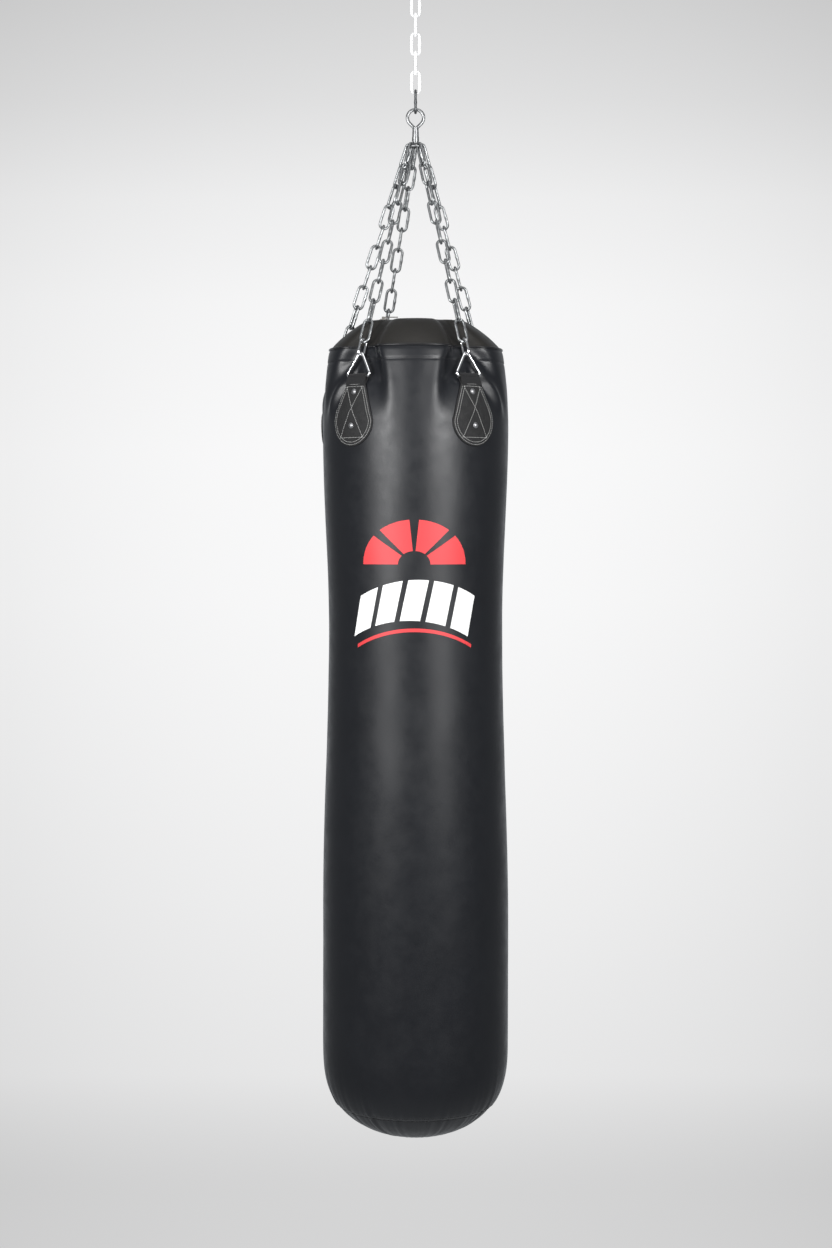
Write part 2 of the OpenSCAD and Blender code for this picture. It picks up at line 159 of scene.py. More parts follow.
class Shader(Nodes):
    """A material under construction."""

    def __init__(self, name: str, colour: Point, roughness: float, metallic: float = 0.0) -> None:
        """Starts a material with a plain surface.

        Args:
            name: the material's name.
            colour: linear base colour.
            roughness: roughness of the surface.
            metallic: 1 for bare metal, 0 for anything else.
        """
        self.material = bpy.data.materials.new(name)
        self.material.use_nodes = True
        self.material.diffuse_color = (*colour[:3], 1.0)
        super().__init__(self.material.node_tree)
        self.surface = self.tree.nodes["Principled BSDF"]
        self.set("Base Color", (*colour[:3], 1.0))
        self.set("Roughness", roughness)
        self.set("Metallic", metallic)
        self._bump = None

    def set(self, socket: str, value: object) -> None:
        """Sets one of the surface's own sockets."""
        self.surface.inputs[socket].default_value = value

    def link(self, source: bpy.types.NodeSocket, socket: str) -> None:
        """Feeds one of the surface's own sockets."""
        self.tree.links.new(source, self.surface.inputs[socket])

    def place(self, uv: str | None = None) -> bpy.types.NodeSocket:
        """The point being shaded.

        Args:
            uv: name of the piece's UV map, or None for its own Object coordinates.

        Returns:
            The socket that carries the point.
        """
        if uv:
            return self.node("ShaderNodeUVMap", uv_map=uv).outputs["UV"]
        return self.node("ShaderNodeTexCoord").outputs["Object"]

    def noise(
        self, place: bpy.types.NodeSocket, scale: float, detail: float = 3.0, rough: float = 0.5
    ) -> bpy.types.NodeSocket:
        """A cloudy pattern.

        Args:
            place: the point being shaded.
            scale: features per metre.
            detail: how many finer layers it has.
            rough: strength of the finer layers.

        Returns:
            The socket that carries the pattern, from 0 to 1.
        """
        made = self.node(
            "ShaderNodeTexNoise",
            {"Vector": place, "Scale": scale, "Detail": detail, "Roughness": rough},
        )
        return made.outputs["Fac"]

    def cells(
        self, place: bpy.types.NodeSocket, scale: float, feature: str = "F1"
    ) -> bpy.types.NodeSocket:
        """A pattern of cells, such as grain.

        Args:
            place: the point being shaded.
            scale: cells per metre.
            feature: which distance is measured.

        Returns:
            The socket that carries the distance.
        """
        made = self.node(
            "ShaderNodeTexVoronoi", {"Vector": place, "Scale": scale}, feature=feature
        )
        return made.outputs["Distance"]

    def tint(self, factor: bpy.types.NodeSocket, low: Point, high: Point) -> bpy.types.NodeSocket:
        """Blends two colours by a pattern.

        Args:
            factor: the pattern, from 0 to 1.
            low: colour where the pattern is 0.
            high: colour where the pattern is 1.

        Returns:
            The socket that carries the colour.
        """
        made = self.node("ShaderNodeMix", data_type="RGBA")
        self.tree.links.new(factor, made.inputs[0])
        made.inputs[6].default_value = (*low[:3], 1.0)
        made.inputs[7].default_value = (*high[:3], 1.0)
        return made.outputs[2]

    def emboss(self, height: bpy.types.NodeSocket, depth: float, strength: float = 1.0) -> None:
        """Adds a relief to the surface.

        Args:
            height: the pattern, from 0 to 1.
            depth: the relief's depth in metres.
            strength: how much of it shows.
        """
        made = self.node(
            "ShaderNodeBump", {"Strength": strength, "Distance": depth, "Height": height}
        )
        if self._bump is not None:
            self.tree.links.new(self._bump, made.inputs["Normal"])
        self._bump = made.outputs["Normal"]
        self.link(self._bump, "Normal")


@dataclass(frozen=True)
class Vinyl:
    """Coated cloth with a fine grain and a soft gloss."""

    name: str
    colour: tuple[float, float, float]
    roughness: float = 0.42
    grain: float = 1100.0
    grain_depth: float = 0.00006

    def build(self) -> bpy.types.Material:
        """Makes the material.

        Returns:
            The new material.
        """
        shader = Shader(self.name, self.colour, self.roughness)
        place = shader.place()
        cloud = shader.noise(place, 9.0, 2.0)
        darker, lighter = scaled(self.colour, 0.85), scaled(self.colour, 1.25)
        shader.link(shader.tint(cloud, darker, lighter), "Base Color")
        handled = shader.noise(place, 34.0, 4.0, 0.6)
        smooth, rough = self.roughness - 0.05, self.roughness + 0.06
        shader.link(shader.spread(handled, smooth, rough, 0.3, 0.7), "Roughness")
        shader.emboss(shader.cells(place, self.grain), self.grain_depth, 0.5)
        shader.emboss(shader.noise(place, 260.0, 2.0), 0.00018, 0.35)
        shader.set("IOR", 1.43)
        return shader.material


@dataclass(frozen=True)
class RoughLeather:
    """Matt leather with a coarse grain."""

    name: str
    colour: tuple[float, float, float]

    def build(self) -> bpy.types.Material:
        """Makes the material.

        Returns:
            The new material.
        """
        shader = Shader(self.name, self.colour, 0.75)
        place = shader.place()
        grain = shader.cells(place, 620.0)
        peaks = shader.spread(grain, 0.0, 1.0, 0.1, 0.7)
        shader.link(shader.tint(peaks, self.colour, scaled(self.colour, 2.6)), "Base Color")
        shader.link(shader.spread(shader.noise(place, 90.0), 0.62, 0.86, 0.3, 0.7), "Roughness")
        shader.emboss(grain, 0.00035, 0.9)
        shader.emboss(shader.noise(place, 180.0, 3.0), 0.0005, 0.5)
        shader.set("Specular IOR Level", 0.35)
        return shader.material


@dataclass(frozen=True)
class Woven:
    """Plain-woven cloth or webbing: its threads follow its UV map in metres, or X and Y."""

    name: str
    colour: tuple[float, float, float]
    thread: float = 0.0011
    uv: str | None = "Weave"

    def build(self) -> bpy.types.Material:
        """Makes the material.

        Returns:
            The new material.
        """
        shader = Shader(self.name, self.colour, 0.88)
        place = shader.place(self.uv)
        parts = shader.node("ShaderNodeSeparateXYZ", {"Vector": place})
        along = shader.math("MULTIPLY", parts.outputs[0], math.pi / self.thread)
        across = shader.math("MULTIPLY", parts.outputs[1], math.pi / self.thread)
        over = shader.math("ABSOLUTE", shader.math("SINE", along))
        under = shader.math("ABSOLUTE", shader.math("SINE", across))
        weave = shader.math("MULTIPLY", over, under)
        darker, lighter = scaled(self.colour, 0.75), scaled(self.colour, 1.25)
        shader.link(shader.tint(weave, darker, lighter), "Base Color")
        shader.emboss(weave, self.thread * 0.3, 0.7)
        shader.set("Sheen Weight", 0.05)
        shader.set("Sheen Roughness", 0.5)
        shader.set("Specular IOR Level", 0.3)
        return shader.material


@dataclass(frozen=True)
class Thread:
    """Twisted sewing thread."""

    name: str
    colour: tuple[float, float, float]

    def build(self) -> bpy.types.Material:
        """Makes the material.

        Returns:
            The new material.
        """
        shader = Shader(self.name, self.colour, 0.6)
        place = shader.place()
        fibre = shader.noise(place, 1600.0, 2.0)
        shader.link(shader.tint(fibre, scaled(self.colour, 0.7), self.colour), "Base Color")
        shader.emboss(fibre, 0.0002, 0.6)
        return shader.material


@dataclass(frozen=True)
class Metal:
    """Bare or plated metal, from bright chrome to dull zinc."""

    name: str
    colour: tuple[float, float, float]
    roughness: float
    mottle: float = 0.25
    spangle: float = 160.0
    relief: float = 0.0

    def build(self) -> bpy.types.Material:
        """Makes the material.

        Returns:
            The new material.
        """
        shader = Shader(self.name, self.colour, self.roughness, 1.0)
        place = shader.place()
        patches = shader.noise(place, self.spangle, 4.0, 0.65)
        dull = scaled(self.colour, 1.0 - self.mottle)
        blotches = shader.spread(patches, 0.0, 1.0, 0.35, 0.65)
        shader.link(shader.tint(blotches, dull, self.colour), "Base Color")
        rubbed = shader.noise(place, self.spangle * 2.4, 3.0)
        smooth, rough = self.roughness * 0.75, self.roughness * 1.4
        shader.link(shader.spread(rubbed, smooth, rough, 0.3, 0.7), "Roughness")
        if self.relief:
            shader.emboss(patches, self.relief, 0.6)
        return shader.material


@dataclass(frozen=True)
class Ink:
    """Printed colour on vinyl, slightly worn."""

    name: str
    colour: tuple[float, float, float]
    ground: tuple[float, float, float] = (0.02, 0.02, 0.024)

    def build(self) -> bpy.types.Material:
        """Makes the material.

        Returns:
            The new material.
        """
        shader = Shader(self.name, self.colour, 0.5)
        place = shader.place()
        scuffs = shader.noise(place, 420.0, 5.0, 0.7)
        worn = shader.spread(scuffs, 0.0, 0.8, 0.66, 0.78)
        shader.link(shader.tint(worn, self.colour, self.ground), "Base Color")
        shader.emboss(shader.cells(place, 1100.0), 0.00005, 0.5)
        return shader.material


@dataclass(frozen=True)
class Soft:
    """Foam or packed cloth, rough all through."""

    name: str
    colour: tuple[float, float, float]
    scale: float
    depth: float

    def build(self) -> bpy.types.Material:
        """Makes the material.

        Returns:
            The new material.
        """
        shader = Shader(self.name, self.colour, 0.95)
        place = shader.place()
        pores = shader.noise(place, self.scale, 5.0, 0.7)
        shader.link(shader.tint(pores, scaled(self.colour, 0.5), self.colour), "Base Color")
        shader.emboss(pores, self.depth, 0.8)
        return shader.material


class Finish(Enum):
    """Every finish of the bag, by the record's slot or by its own use."""

    PLATE_STEEL = Metal("zinc_plate", (0.55, 0.56, 0.57), 0.34, 0.3, 60.0, 0.00004)
    HOOK_STEEL = Metal("zinc_hook", (0.62, 0.63, 0.64), 0.25, 0.2, 120.0, 0.00003)
    CHAIN_STEEL = Metal("galvanised_chain", (0.36, 0.37, 0.375), 0.36, 0.4, 210.0, 0.00008)
    # Painted shade: a darker, rougher copy of the chain steel, so that the upper chain shows less of
    # the key lights' highlights
    TOP_CHAIN_SHADED_STEEL = Metal("chain_painted_shade", (0.15, 0.155, 0.16), 0.5, 0.4, 210.0, 0.00008)
    SWIVEL_STEEL = Metal("galvanised_swivel", (0.38, 0.385, 0.39), 0.36, 0.35, 180.0, 0.00006)
    WASHER_BRASS = Metal("turned_brass", (0.75, 0.52, 0.22), 0.25, 0.15, 200.0)
    RING_CHROME = Metal("bright_plating", (0.93, 0.93, 0.94), 0.14, 0.1, 90.0)
    RIVET_STEEL = Metal("nickel_rivet", (0.40, 0.40, 0.41), 0.4, 0.35, 260.0, 0.00004)
    BAG_VINYL = Vinyl("grained_vinyl", (0.0062, 0.0070, 0.0092), 0.40)
    LID_VINYL = Vinyl("matt_vinyl", (0.0125, 0.0112, 0.0095), 0.5)
    WELT_VINYL = Vinyl("smooth_vinyl", (0.007, 0.007, 0.008), 0.36)
    PATCH_LEATHER = RoughLeather("rough_leather", (0.006, 0.006, 0.0062))
    WEBBING = Woven("black_webbing", (0.012, 0.012, 0.013))
    THREAD_GREY = Thread("grey_thread", (0.42, 0.42, 0.41))
    THREAD_BLACK = Thread("black_thread", (0.02, 0.02, 0.022))
    INK_RED = Ink("red_ink", (0.62, 0.035, 0.04))
    INK_WHITE = Ink("white_ink", (0.83, 0.83, 0.82))
    LINER_FOAM = Soft("open_foam", (0.62, 0.56, 0.38), 900.0, 0.0006)
    RAG_FILLING = Soft("packed_rags", (0.36, 0.32, 0.3), 70.0, 0.006)
    ZIP_TAPE = Woven("black_tape", (0.013, 0.013, 0.014), 0.0007, None)
    ZIP_METAL = Metal("dark_nickel", (0.42, 0.4, 0.37), 0.28, 0.2, 240.0)

    def material(self) -> bpy.types.Material:
        """The finish's material, made once."""
        known = bpy.data.materials.get(self.value.name)
        return known or self.value.build()


# ---------------------------------------------------------------------------------------------
# Mesh building
# ---------------------------------------------------------------------------------------------


def new_piece(
    name: str,
    points: np.ndarray,
    faces: Sequence[Sequence[int]],
    finish: Finish,
    uvs: np.ndarray | None = None,
    sharp: float = 50.0,
) -> bpy.types.Object:
    """Makes a smooth-shaded object from points and faces.

    Args:
        name: the piece's name.
        points: corners, one row each.
        faces: corner numbers of each face.
        finish: what it is made of.
        uvs: one pair per corner, in metres, for a woven finish.
        sharp: edges that turn more than this, in degrees, stay crisp.

    Returns:
        The new object, at the origin.
    """
    mesh = bpy.data.meshes.new(name)
    mesh.from_pydata(np.asarray(points, dtype=float).tolist(), [], [list(f) for f in faces])
    mesh.validate()
    if uvs is not None:
        layer = mesh.uv_layers.new(name="Weave")
        corner = np.empty(len(mesh.loops), dtype=int)
        mesh.loops.foreach_get("vertex_index", corner)
        layer.data.foreach_set("uv", np.asarray(uvs, dtype=float)[corner].ravel())
    mesh.materials.append(finish.material())
    mesh.shade_smooth()
    mesh.set_sharp_from_angle(angle=math.radians(sharp))
    piece = bpy.data.objects.new(name, mesh)
    bpy.context.scene.collection.objects.link(piece)
    return piece


def grid_normals(points: np.ndarray, wrap: bool) -> np.ndarray:
    """Unit normals of a grid of points.

    Args:
        points: rows x columns x 3; rows run upwards and columns to the right, seen from outside.
        wrap: True if the last column meets the first.

    Returns:
        Normals that point outwards, in the same layout.
    """
    up = np.gradient(points, axis=0)
    if wrap:
        across = np.roll(points, -1, axis=1) - np.roll(points, 1, axis=1)
    else:
        across = np.gradient(points, axis=1)
    normals = np.cross(across, up)
    return normals / np.maximum(np.linalg.norm(normals, axis=2, keepdims=True), 1e-12)


def closed_sheet(
    name: str,
    outer: np.ndarray,
    thickness: float,
    finish: Finish,
    wrap: bool = True,
    low_pole: bool = False,
    high_pole: bool = False,
    uvs: np.ndarray | None = None,
    inner: np.ndarray | None = None,
    sharp: float = 50.0,
) -> bpy.types.Object:
    """A closed sheet of even thickness whose outer face is a grid of points.

    Args:
        name: the piece's name.
        outer: rows x columns x 3; rows run upwards and columns to the right, seen from outside.
        thickness: how far the inner face lies behind the outer.
        finish: what it is made of.
        wrap: True if the last column meets the first.
        low_pole: True if the first row closes to a point.
        high_pole: True if the last row closes to a point.
        uvs: rows x columns x 2, in metres.
        inner: the inner face, where it isn't at an even distance.
        sharp: edges that turn more than this, in degrees, stay crisp.

    Returns:
        The new object.
    """
    rows, cols = outer.shape[:2]
    if inner is None:
        inner = outer - grid_normals(outer, wrap) * thickness
    points = [outer.reshape(-1, 3), inner.reshape(-1, 3)]
    shift = rows * cols
    faces = []
    steps = cols if wrap else cols - 1
    for i in range(rows - 1):
        for j in range(steps):
            k = (j + 1) % cols
            a, b, c, d = i * cols + j, i * cols + k, (i + 1) * cols + k, (i + 1) * cols + j
            faces.append((a, b, c, d))
            faces.append((a + shift, d + shift, c + shift, b + shift))
    poles = []
    for pole, row, is_low in ((low_pole, 0, True), (high_pole, rows - 1, False)):
        if pole:
            number = 2 * shift + len(poles)
            poles += [outer[row].mean(axis=0), inner[row].mean(axis=0)]
        for j in range(steps):
            a, b = row * cols + j, row * cols + (j + 1) % cols
            if pole and is_low:
                faces += [(number, b, a), (number + 1, a + shift, b + shift)]
            elif pole:
                faces += [(number, a, b), (number + 1, b + shift, a + shift)]
            elif is_low:
                faces.append((a, a + shift, b + shift, b))
            else:
                faces.append((a, b, b + shift, a + shift))
    if not wrap:
        for i in range(rows - 1):
            a, b = i * cols, (i + 1) * cols
            faces.append((a, b, b + shift, a + shift))
            a, b = a + cols - 1, b + cols - 1
            faces.append((a, a + shift, b + shift, b))
    if poles:
        points.append(np.array(poles))
    if uvs is not None:
        flat = uvs.reshape(-1, 2)
        uvs = np.concatenate([flat, flat])
    return new_piece(name, np.concatenate(points), faces, finish, uvs, sharp)


def face_outwards(piece: bpy.types.Object) -> None:
    """Turns a closed piece's faces over if they point inwards.

    Args:
        piece: the piece, changed in place.
    """
    work = bmesh.new()
    work.from_mesh(piece.data)
    if work.calc_volume(signed=True) < 0:
        bmesh.ops.reverse_faces(work, faces=work.faces)
        work.to_mesh(piece.data)
    work.free()


def joined(name: str, pieces: Sequence[bpy.types.Object]) -> bpy.types.Object:
    """Joins pieces of one finish into one plain mesh and removes them.

    Args:
        name: the joined piece's name.
        pieces: the pieces, used up.

    Returns:
        The joined piece.
    """
    work = bmesh.new()
    for piece in pieces:
        work.from_mesh(piece.data)
    mesh = bpy.data.meshes.new(name)
    work.to_mesh(mesh)
    work.free()
    mesh.materials.append(pieces[0].data.materials[0])
    mesh.shade_smooth()
    mesh.set_sharp_from_angle(angle=math.radians(JOINED_SHARP))
    made = bpy.data.objects.new(name, mesh)
    bpy.context.scene.collection.objects.link(made)
    for piece in pieces:
        bpy.data.objects.remove(piece)
    return made


# ---------------------------------------------------------------------------------------------
# Geometry Nodes
# ---------------------------------------------------------------------------------------------


class Tree(Nodes):
    """A Geometry Nodes tree with named inputs, run on a set of points."""

    def __init__(self, name: str, inputs: dict[str, tuple[str, object]]) -> None:
        """Starts a tree.

        Args:
            name: the tree's name.
            inputs: type of socket and its value, by the input's name.
        """
        super().__init__(bpy.data.node_groups.new(name, "GeometryNodeTree"))
        for way in ("INPUT", "OUTPUT"):
            self.tree.interface.new_socket(
                "Geometry", in_out=way, socket_type="NodeSocketGeometry"
            )
        self.identifier: dict[str, str] = {}
        for label, (kind, value) in inputs.items():
            socket = self.tree.interface.new_socket(label, in_out="INPUT", socket_type=kind)
            if value is not None:
                socket.default_value = value
            self.identifier[label] = socket.identifier
        self.inputs = self.tree.nodes.new("NodeGroupInput")
        self.result = self.tree.nodes.new("NodeGroupOutput")

    def given(self, label: str) -> bpy.types.NodeSocket:
        """The socket of a named input."""
        return self.inputs.outputs[label]

    def turned(self, primary: str, secondary: str) -> bpy.types.NodeSocket:
        """Rotation that lays two axes along the points' attributes up and way.

        Args:
            primary: axis that lies along the attribute up.
            secondary: axis that lies along the attribute way.

        Returns:
            The socket that carries the rotation.
        """
        up, way = (
            self.node("GeometryNodeInputNamedAttribute", {"Name": name}, data_type="FLOAT_VECTOR")
            for name in ("up", "way")
        )
        turn = self.node(
            "FunctionNodeAxesToRotation",
            {"Primary Axis": up.outputs["Attribute"], "Secondary Axis": way.outputs["Attribute"]},
            primary_axis=primary,
            secondary_axis=secondary,
        )
        return turn.outputs["Rotation"]

    def finish(self, geometry: bpy.types.NodeSocket) -> None:
        """Ends the tree: instances made real, shaded smooth, with the finish set.

        Args:
            geometry: what the tree has made.
        """
        real = self.node("GeometryNodeRealizeInstances", {"Geometry": geometry})
        smooth = self.node("GeometryNodeSetShadeSmooth", {"Geometry": real.outputs[0]})
        dressed = self.node(
            "GeometryNodeSetMaterial",
            {"Geometry": smooth.outputs[0], "Material": self.given("Finish")},
        )
        self.tree.links.new(dressed.outputs[0], self.result.inputs[0])

    def lay(self, shape: bpy.types.NodeSocket, primary: str) -> None:
        """Ends the tree with one copy of a shape on each point.

        Args:
            shape: the geometry to copy.
            primary: the shape's axis that lies along up; its X axis lies along way.
        """
        laid = self.node(
            "GeometryNodeInstanceOnPoints",
            {
                "Points": self.given("Geometry"),
                "Instance": shape,
                "Rotation": self.turned(primary, "X"),
            },
        )
        self.finish(laid.outputs[0])

    def run(
        self,
        name: str,
        points: np.ndarray,
        finish: Finish,
        way: np.ndarray | None = None,
        up: np.ndarray | None = None,
        edges: Sequence[Sequence[int]] = (),
        **values: object,
    ) -> bpy.types.Object:
        """Runs the tree and keeps its result as a plain mesh.

        Args:
            name: the new piece's name.
            points: the points that the tree works on.
            finish: what the piece is made of.
            way: one direction per point.
            up: a second direction per point.
            edges: pairs of points that are joined, for a path.
            values: values of the named inputs, with _ for a space.

        Returns:
            The new object, at the origin.
        """
        mesh = bpy.data.meshes.new(name + "_points")
        mesh.from_pydata(np.asarray(points, dtype=float).tolist(), [list(e) for e in edges], [])
        for label, vectors in (("way", way), ("up", up)):
            if vectors is not None:
                layer = mesh.attributes.new(label, "FLOAT_VECTOR", "POINT")
                layer.data.foreach_set("vector", np.asarray(vectors, dtype=float).ravel())
        seedling = bpy.data.objects.new(name + "_points", mesh)
        bpy.context.scene.collection.objects.link(seedling)
        modifier = seedling.modifiers.new("tree", "NODES")
        modifier.node_group = self.tree
        values["Finish"] = finish.material()
        for label, value in values.items():
            modifier[self.identifier[label.replace("_", " ")]] = value
        bpy.context.view_layer.update()
        seen = seedling.evaluated_get(bpy.context.evaluated_depsgraph_get())
        result = bpy.data.meshes.new_from_object(seen)
        result.name = name
        seedling.modifiers.remove(modifier)
        bpy.data.objects.remove(seedling)
        made = bpy.data.objects.new(name, result)
        bpy.context.scene.collection.objects.link(made)
        if not result.materials:
            result.materials.append(finish.material())
        return made


def stitch_tree() -> Tree:
    """Lays one short thread stitch on each point, along way, with its back to up.

    Returns:
        The tree.
    """
    tree = Tree(
        "stitches",
        {
            "Length": ("NodeSocketFloat", 0.0026),
            "Width": ("NodeSocketFloat", 0.0008),
            "Height": ("NodeSocketFloat", 0.0006),
            "Finish": ("NodeSocketMaterial", None),
        },
    )
    ball = tree.node("GeometryNodeMeshUVSphere", {"Segments": 6, "Rings": 4, "Radius": 0.5})
    size = tree.node(
        "ShaderNodeCombineXYZ",
        {0: tree.given("Length"), 1: tree.given("Width"), 2: tree.given("Height")},
    )
    shaped = tree.node(
        "GeometryNodeTransform", {"Geometry": ball.outputs["Mesh"], "Scale": size.outputs[0]}
    )
    tree.lay(shaped.outputs[0], "Z")
    return tree


def link_tree() -> Tree:
    """Hangs one welded chain link on each point: up is its long axis and way its width.

    Returns:
        The tree.
    """
    tree = Tree(
        "links",
        {
            "Clear length": ("NodeSocketFloat", 0.0355),
            "Clear width": ("NodeSocketFloat", 0.01),
            "Wire": ("NodeSocketFloat", 0.005),
            "Weld": ("NodeSocketFloat", 0.22),
            "Weld fall": ("NodeSocketFloat", -2.5),
            "Finish": ("NodeSocketMaterial", None),
        },
    )
    wire = tree.given("Wire")
    wide = tree.math("ADD", tree.given("Clear width"), wire)
    tall = tree.math("ADD", tree.given("Clear length"), wire)
    box = tree.node("GeometryNodeCurvePrimitiveQuadrilateral", {"Width": wide, "Height": tall})
    corner = tree.math("MULTIPLY", wide, 0.499)
    rounded = tree.node(
        "GeometryNodeFilletCurve",
        {"Curve": box.outputs[0], "Radius": corner, "Count": 8},
        mode="POLY",
    )
    even = tree.node("GeometryNodeResampleCurve", {"Curve": rounded.outputs[0], "Count": 44})
    place = tree.node("GeometryNodeInputPosition")
    split = tree.node("ShaderNodeSeparateXYZ", {0: place.outputs[0]})
    beside = tree.math("GREATER_THAN", split.outputs[0], 0.0)
    along = tree.math("DIVIDE", split.outputs[1], wire)
    fall = tree.math("MULTIPLY", tree.math("MULTIPLY", along, along), tree.given("Weld fall"))
    bulge = tree.math("MULTIPLY", tree.math("EXPONENT", fall), beside)
    radius = tree.math("ADD", tree.math("MULTIPLY", bulge, tree.given("Weld")), 1.0)
    half_wire = tree.math("MULTIPLY", wire, 0.5)
    section = tree.node("GeometryNodeCurvePrimitiveCircle", {"Resolution": 12, "Radius": half_wire})
    swept = tree.node(
        "GeometryNodeCurveToMesh",
        {"Curve": even.outputs[0], "Profile Curve": section.outputs[0], "Scale": radius},
    )
    tree.lay(swept.outputs[0], "Y")
    return tree


def piping_tree() -> Tree:
    """Sweeps a round section along a closed or open path of edges.

    Returns:
        The tree.
    """
    tree = Tree(
        "piping",
        {
            "Thickness": ("NodeSocketFloat", 0.004),
            "Sides": ("NodeSocketInt", 10),
            "Finish": ("NodeSocketMaterial", None),
        },
    )
    path = tree.node("GeometryNodeMeshToCurve", {0: tree.given("Geometry")})
    half = tree.math("MULTIPLY", tree.given("Thickness"), 0.5)
    section = tree.node(
        "GeometryNodeCurvePrimitiveCircle", {"Resolution": tree.given("Sides"), "Radius": half}
    )
    swept = tree.node(
        "GeometryNodeCurveToMesh",
        {"Curve": path.outputs[0], "Profile Curve": section.outputs[0], "Fill Caps": True},
    )
    tree.finish(swept.outputs[0])
    return tree


def rivet_tree() -> Tree:
    """Sets one rivet head on each point, facing along up: a dome inside a rounded rim.

    Returns:
        The tree.
    """
    tree = Tree(
        "rivets",
        {
            "Diameter": ("NodeSocketFloat", 0.011),
            "Height": ("NodeSocketFloat", 0.0026),
            "Finish": ("NodeSocketMaterial", None),
        },
    )
    half = tree.math("MULTIPLY", tree.given("Diameter"), 0.5)
    dome_r = tree.math("MULTIPLY", half, 0.86)
    dome = tree.node("GeometryNodeMeshUVSphere", {"Segments": 28, "Rings": 14, "Radius": 1.0})
    size = tree.node("ShaderNodeCombineXYZ", {0: dome_r, 1: dome_r, 2: tree.given("Height")})
    domed = tree.node(
        "GeometryNodeTransform", {"Geometry": dome.outputs["Mesh"], "Scale": size.outputs[0]}
    )
    path, section = (
        tree.node(
            "GeometryNodeCurvePrimitiveCircle",
            {"Resolution": sides, "Radius": tree.math("MULTIPLY", half, share)},
        )
        for sides, share in ((28, 0.87), (8, 0.13))
    )
    rim = tree.node(
        "GeometryNodeCurveToMesh", {"Curve": path.outputs[0], "Profile Curve": section.outputs[0]}
    )
    head = tree.node("GeometryNodeJoinGeometry")
    for part in (domed, rim):
        tree.tree.links.new(part.outputs[0], head.inputs[0])
    tree.lay(head.outputs[0], "Z")
    return tree


# ---------------------------------------------------------------------------------------------
# Shape of the stuffed cover
# ---------------------------------------------------------------------------------------------


def wrapped(degrees: np.ndarray) -> np.ndarray:
    """Angles brought into -180 to 180."""
    return (degrees + 180.0) % 360.0 - 180.0


def even_turns(count: int) -> np.ndarray:
    """One row of turns at even steps round the bag, in degrees."""
    return (np.arange(count) * 360.0 / count)[None, :]


def bell(distance: np.ndarray, spread: float) -> np.ndarray:
    """A bell curve: 1 at no distance, small beyond twice the spread."""
    return np.exp(-0.5 * (distance / spread) ** 2)


def smooth_curve(points: Sequence[Point], at: np.ndarray, blur: float) -> np.ndarray:
    """A soft curve through a few points.

    Args:
        points: pairs of place and value, in rising order of place.
        at: places where the curve is wanted.
        blur: how far the curve's corners are rounded.

    Returns:
        The values at those places.
    """
    place, value = np.array(points, dtype=float).T
    steps = np.linspace(-2.0, 2.0, 9) * blur
    weight = np.exp(-0.5 * (steps / blur) ** 2)
    total = sum(w * np.interp(at + s, place, value) for s, w in zip(steps, weight))
    return total / weight.sum()


@dataclass(frozen=True)
class Fold:
    """A crease or ridge beside a strap.

    The path holds pairs of distance from the strap's centre line and height. A positive height
    stands proud and a negative one sinks.
    """

    path: tuple[tuple[float, float], ...]
    height: float
    spread: float
    taper: float = 0.7

    def relief(self, beside: np.ndarray, h: np.ndarray, narrow: float) -> np.ndarray:
        """The fold's relief.

        Args:
            beside: distances from the strap's centre line.
            h: heights.
            narrow: 1 in a wide gap between straps, less in a narrow one.

        Returns:
            How far the skin stands proud there.
        """
        rising = sorted((height, across * narrow) for across, height in self.path)
        centre = smooth_curve(rising, h, 0.006)
        low, high = rising[0][0], rising[-1][0]
        rise = np.clip((h - low) / (self.taper * (high - low)), 0.0, 1.0)
        fade = rise**2 * (3.0 - 2.0 * rise) / (1.0 + np.exp((h - high) / 0.005))
        return self.height * fade * bell(beside - centre, self.spread)


# Folds on the side of a strap that faces a wide gap, and on a strap's outer side
INNER_FOLDS = (
    Fold(
        ((0.034, 1.474), (0.044, 1.448), (0.051, 1.415), (0.055, 1.385), (0.057, 1.345)),
        height=-0.0095,
        spread=0.0105,
        taper=0.9,
    ),
    Fold(
        ((0.026, 1.450), (0.034, 1.420), (0.040, 1.390), (0.042, 1.350)),
        height=-0.0040,
        spread=0.013,
        taper=0.8,
    ),
    Fold(
        ((0.047, 1.470), (0.060, 1.440), (0.068, 1.410), (0.073, 1.375), (0.075, 1.310)),
        height=0.0030,
        spread=0.0095,
        taper=0.8,
    ),
)
OUTER_FOLDS = (
    Fold(
        ((0.026, 1.456), (0.047, 1.415), (0.068, 1.382), (0.084, 1.345)),
        height=0.0062,
        spread=0.0085,
        taper=0.6,
    ),
    Fold(((0.014, 1.436), (0.040, 1.392), (0.058, 1.350)), height=-0.0050, spread=0.008),
    Fold(
        ((0.045, 1.462), (0.072, 1.412), (0.094, 1.366), (0.102, 1.340)),
        height=-0.0056,
        spread=0.0095,
    ),
)


# How far the straps pull the cover in, by height
DENT_DEPTHS = (
    (1.345, 0.0),
    (1.380, 0.0035),
    (1.412, 0.0095),
    (1.424, 0.0195),
    (1.440, 0.024),
    (1.466, 0.028),
    (1.490, 0.029),
)


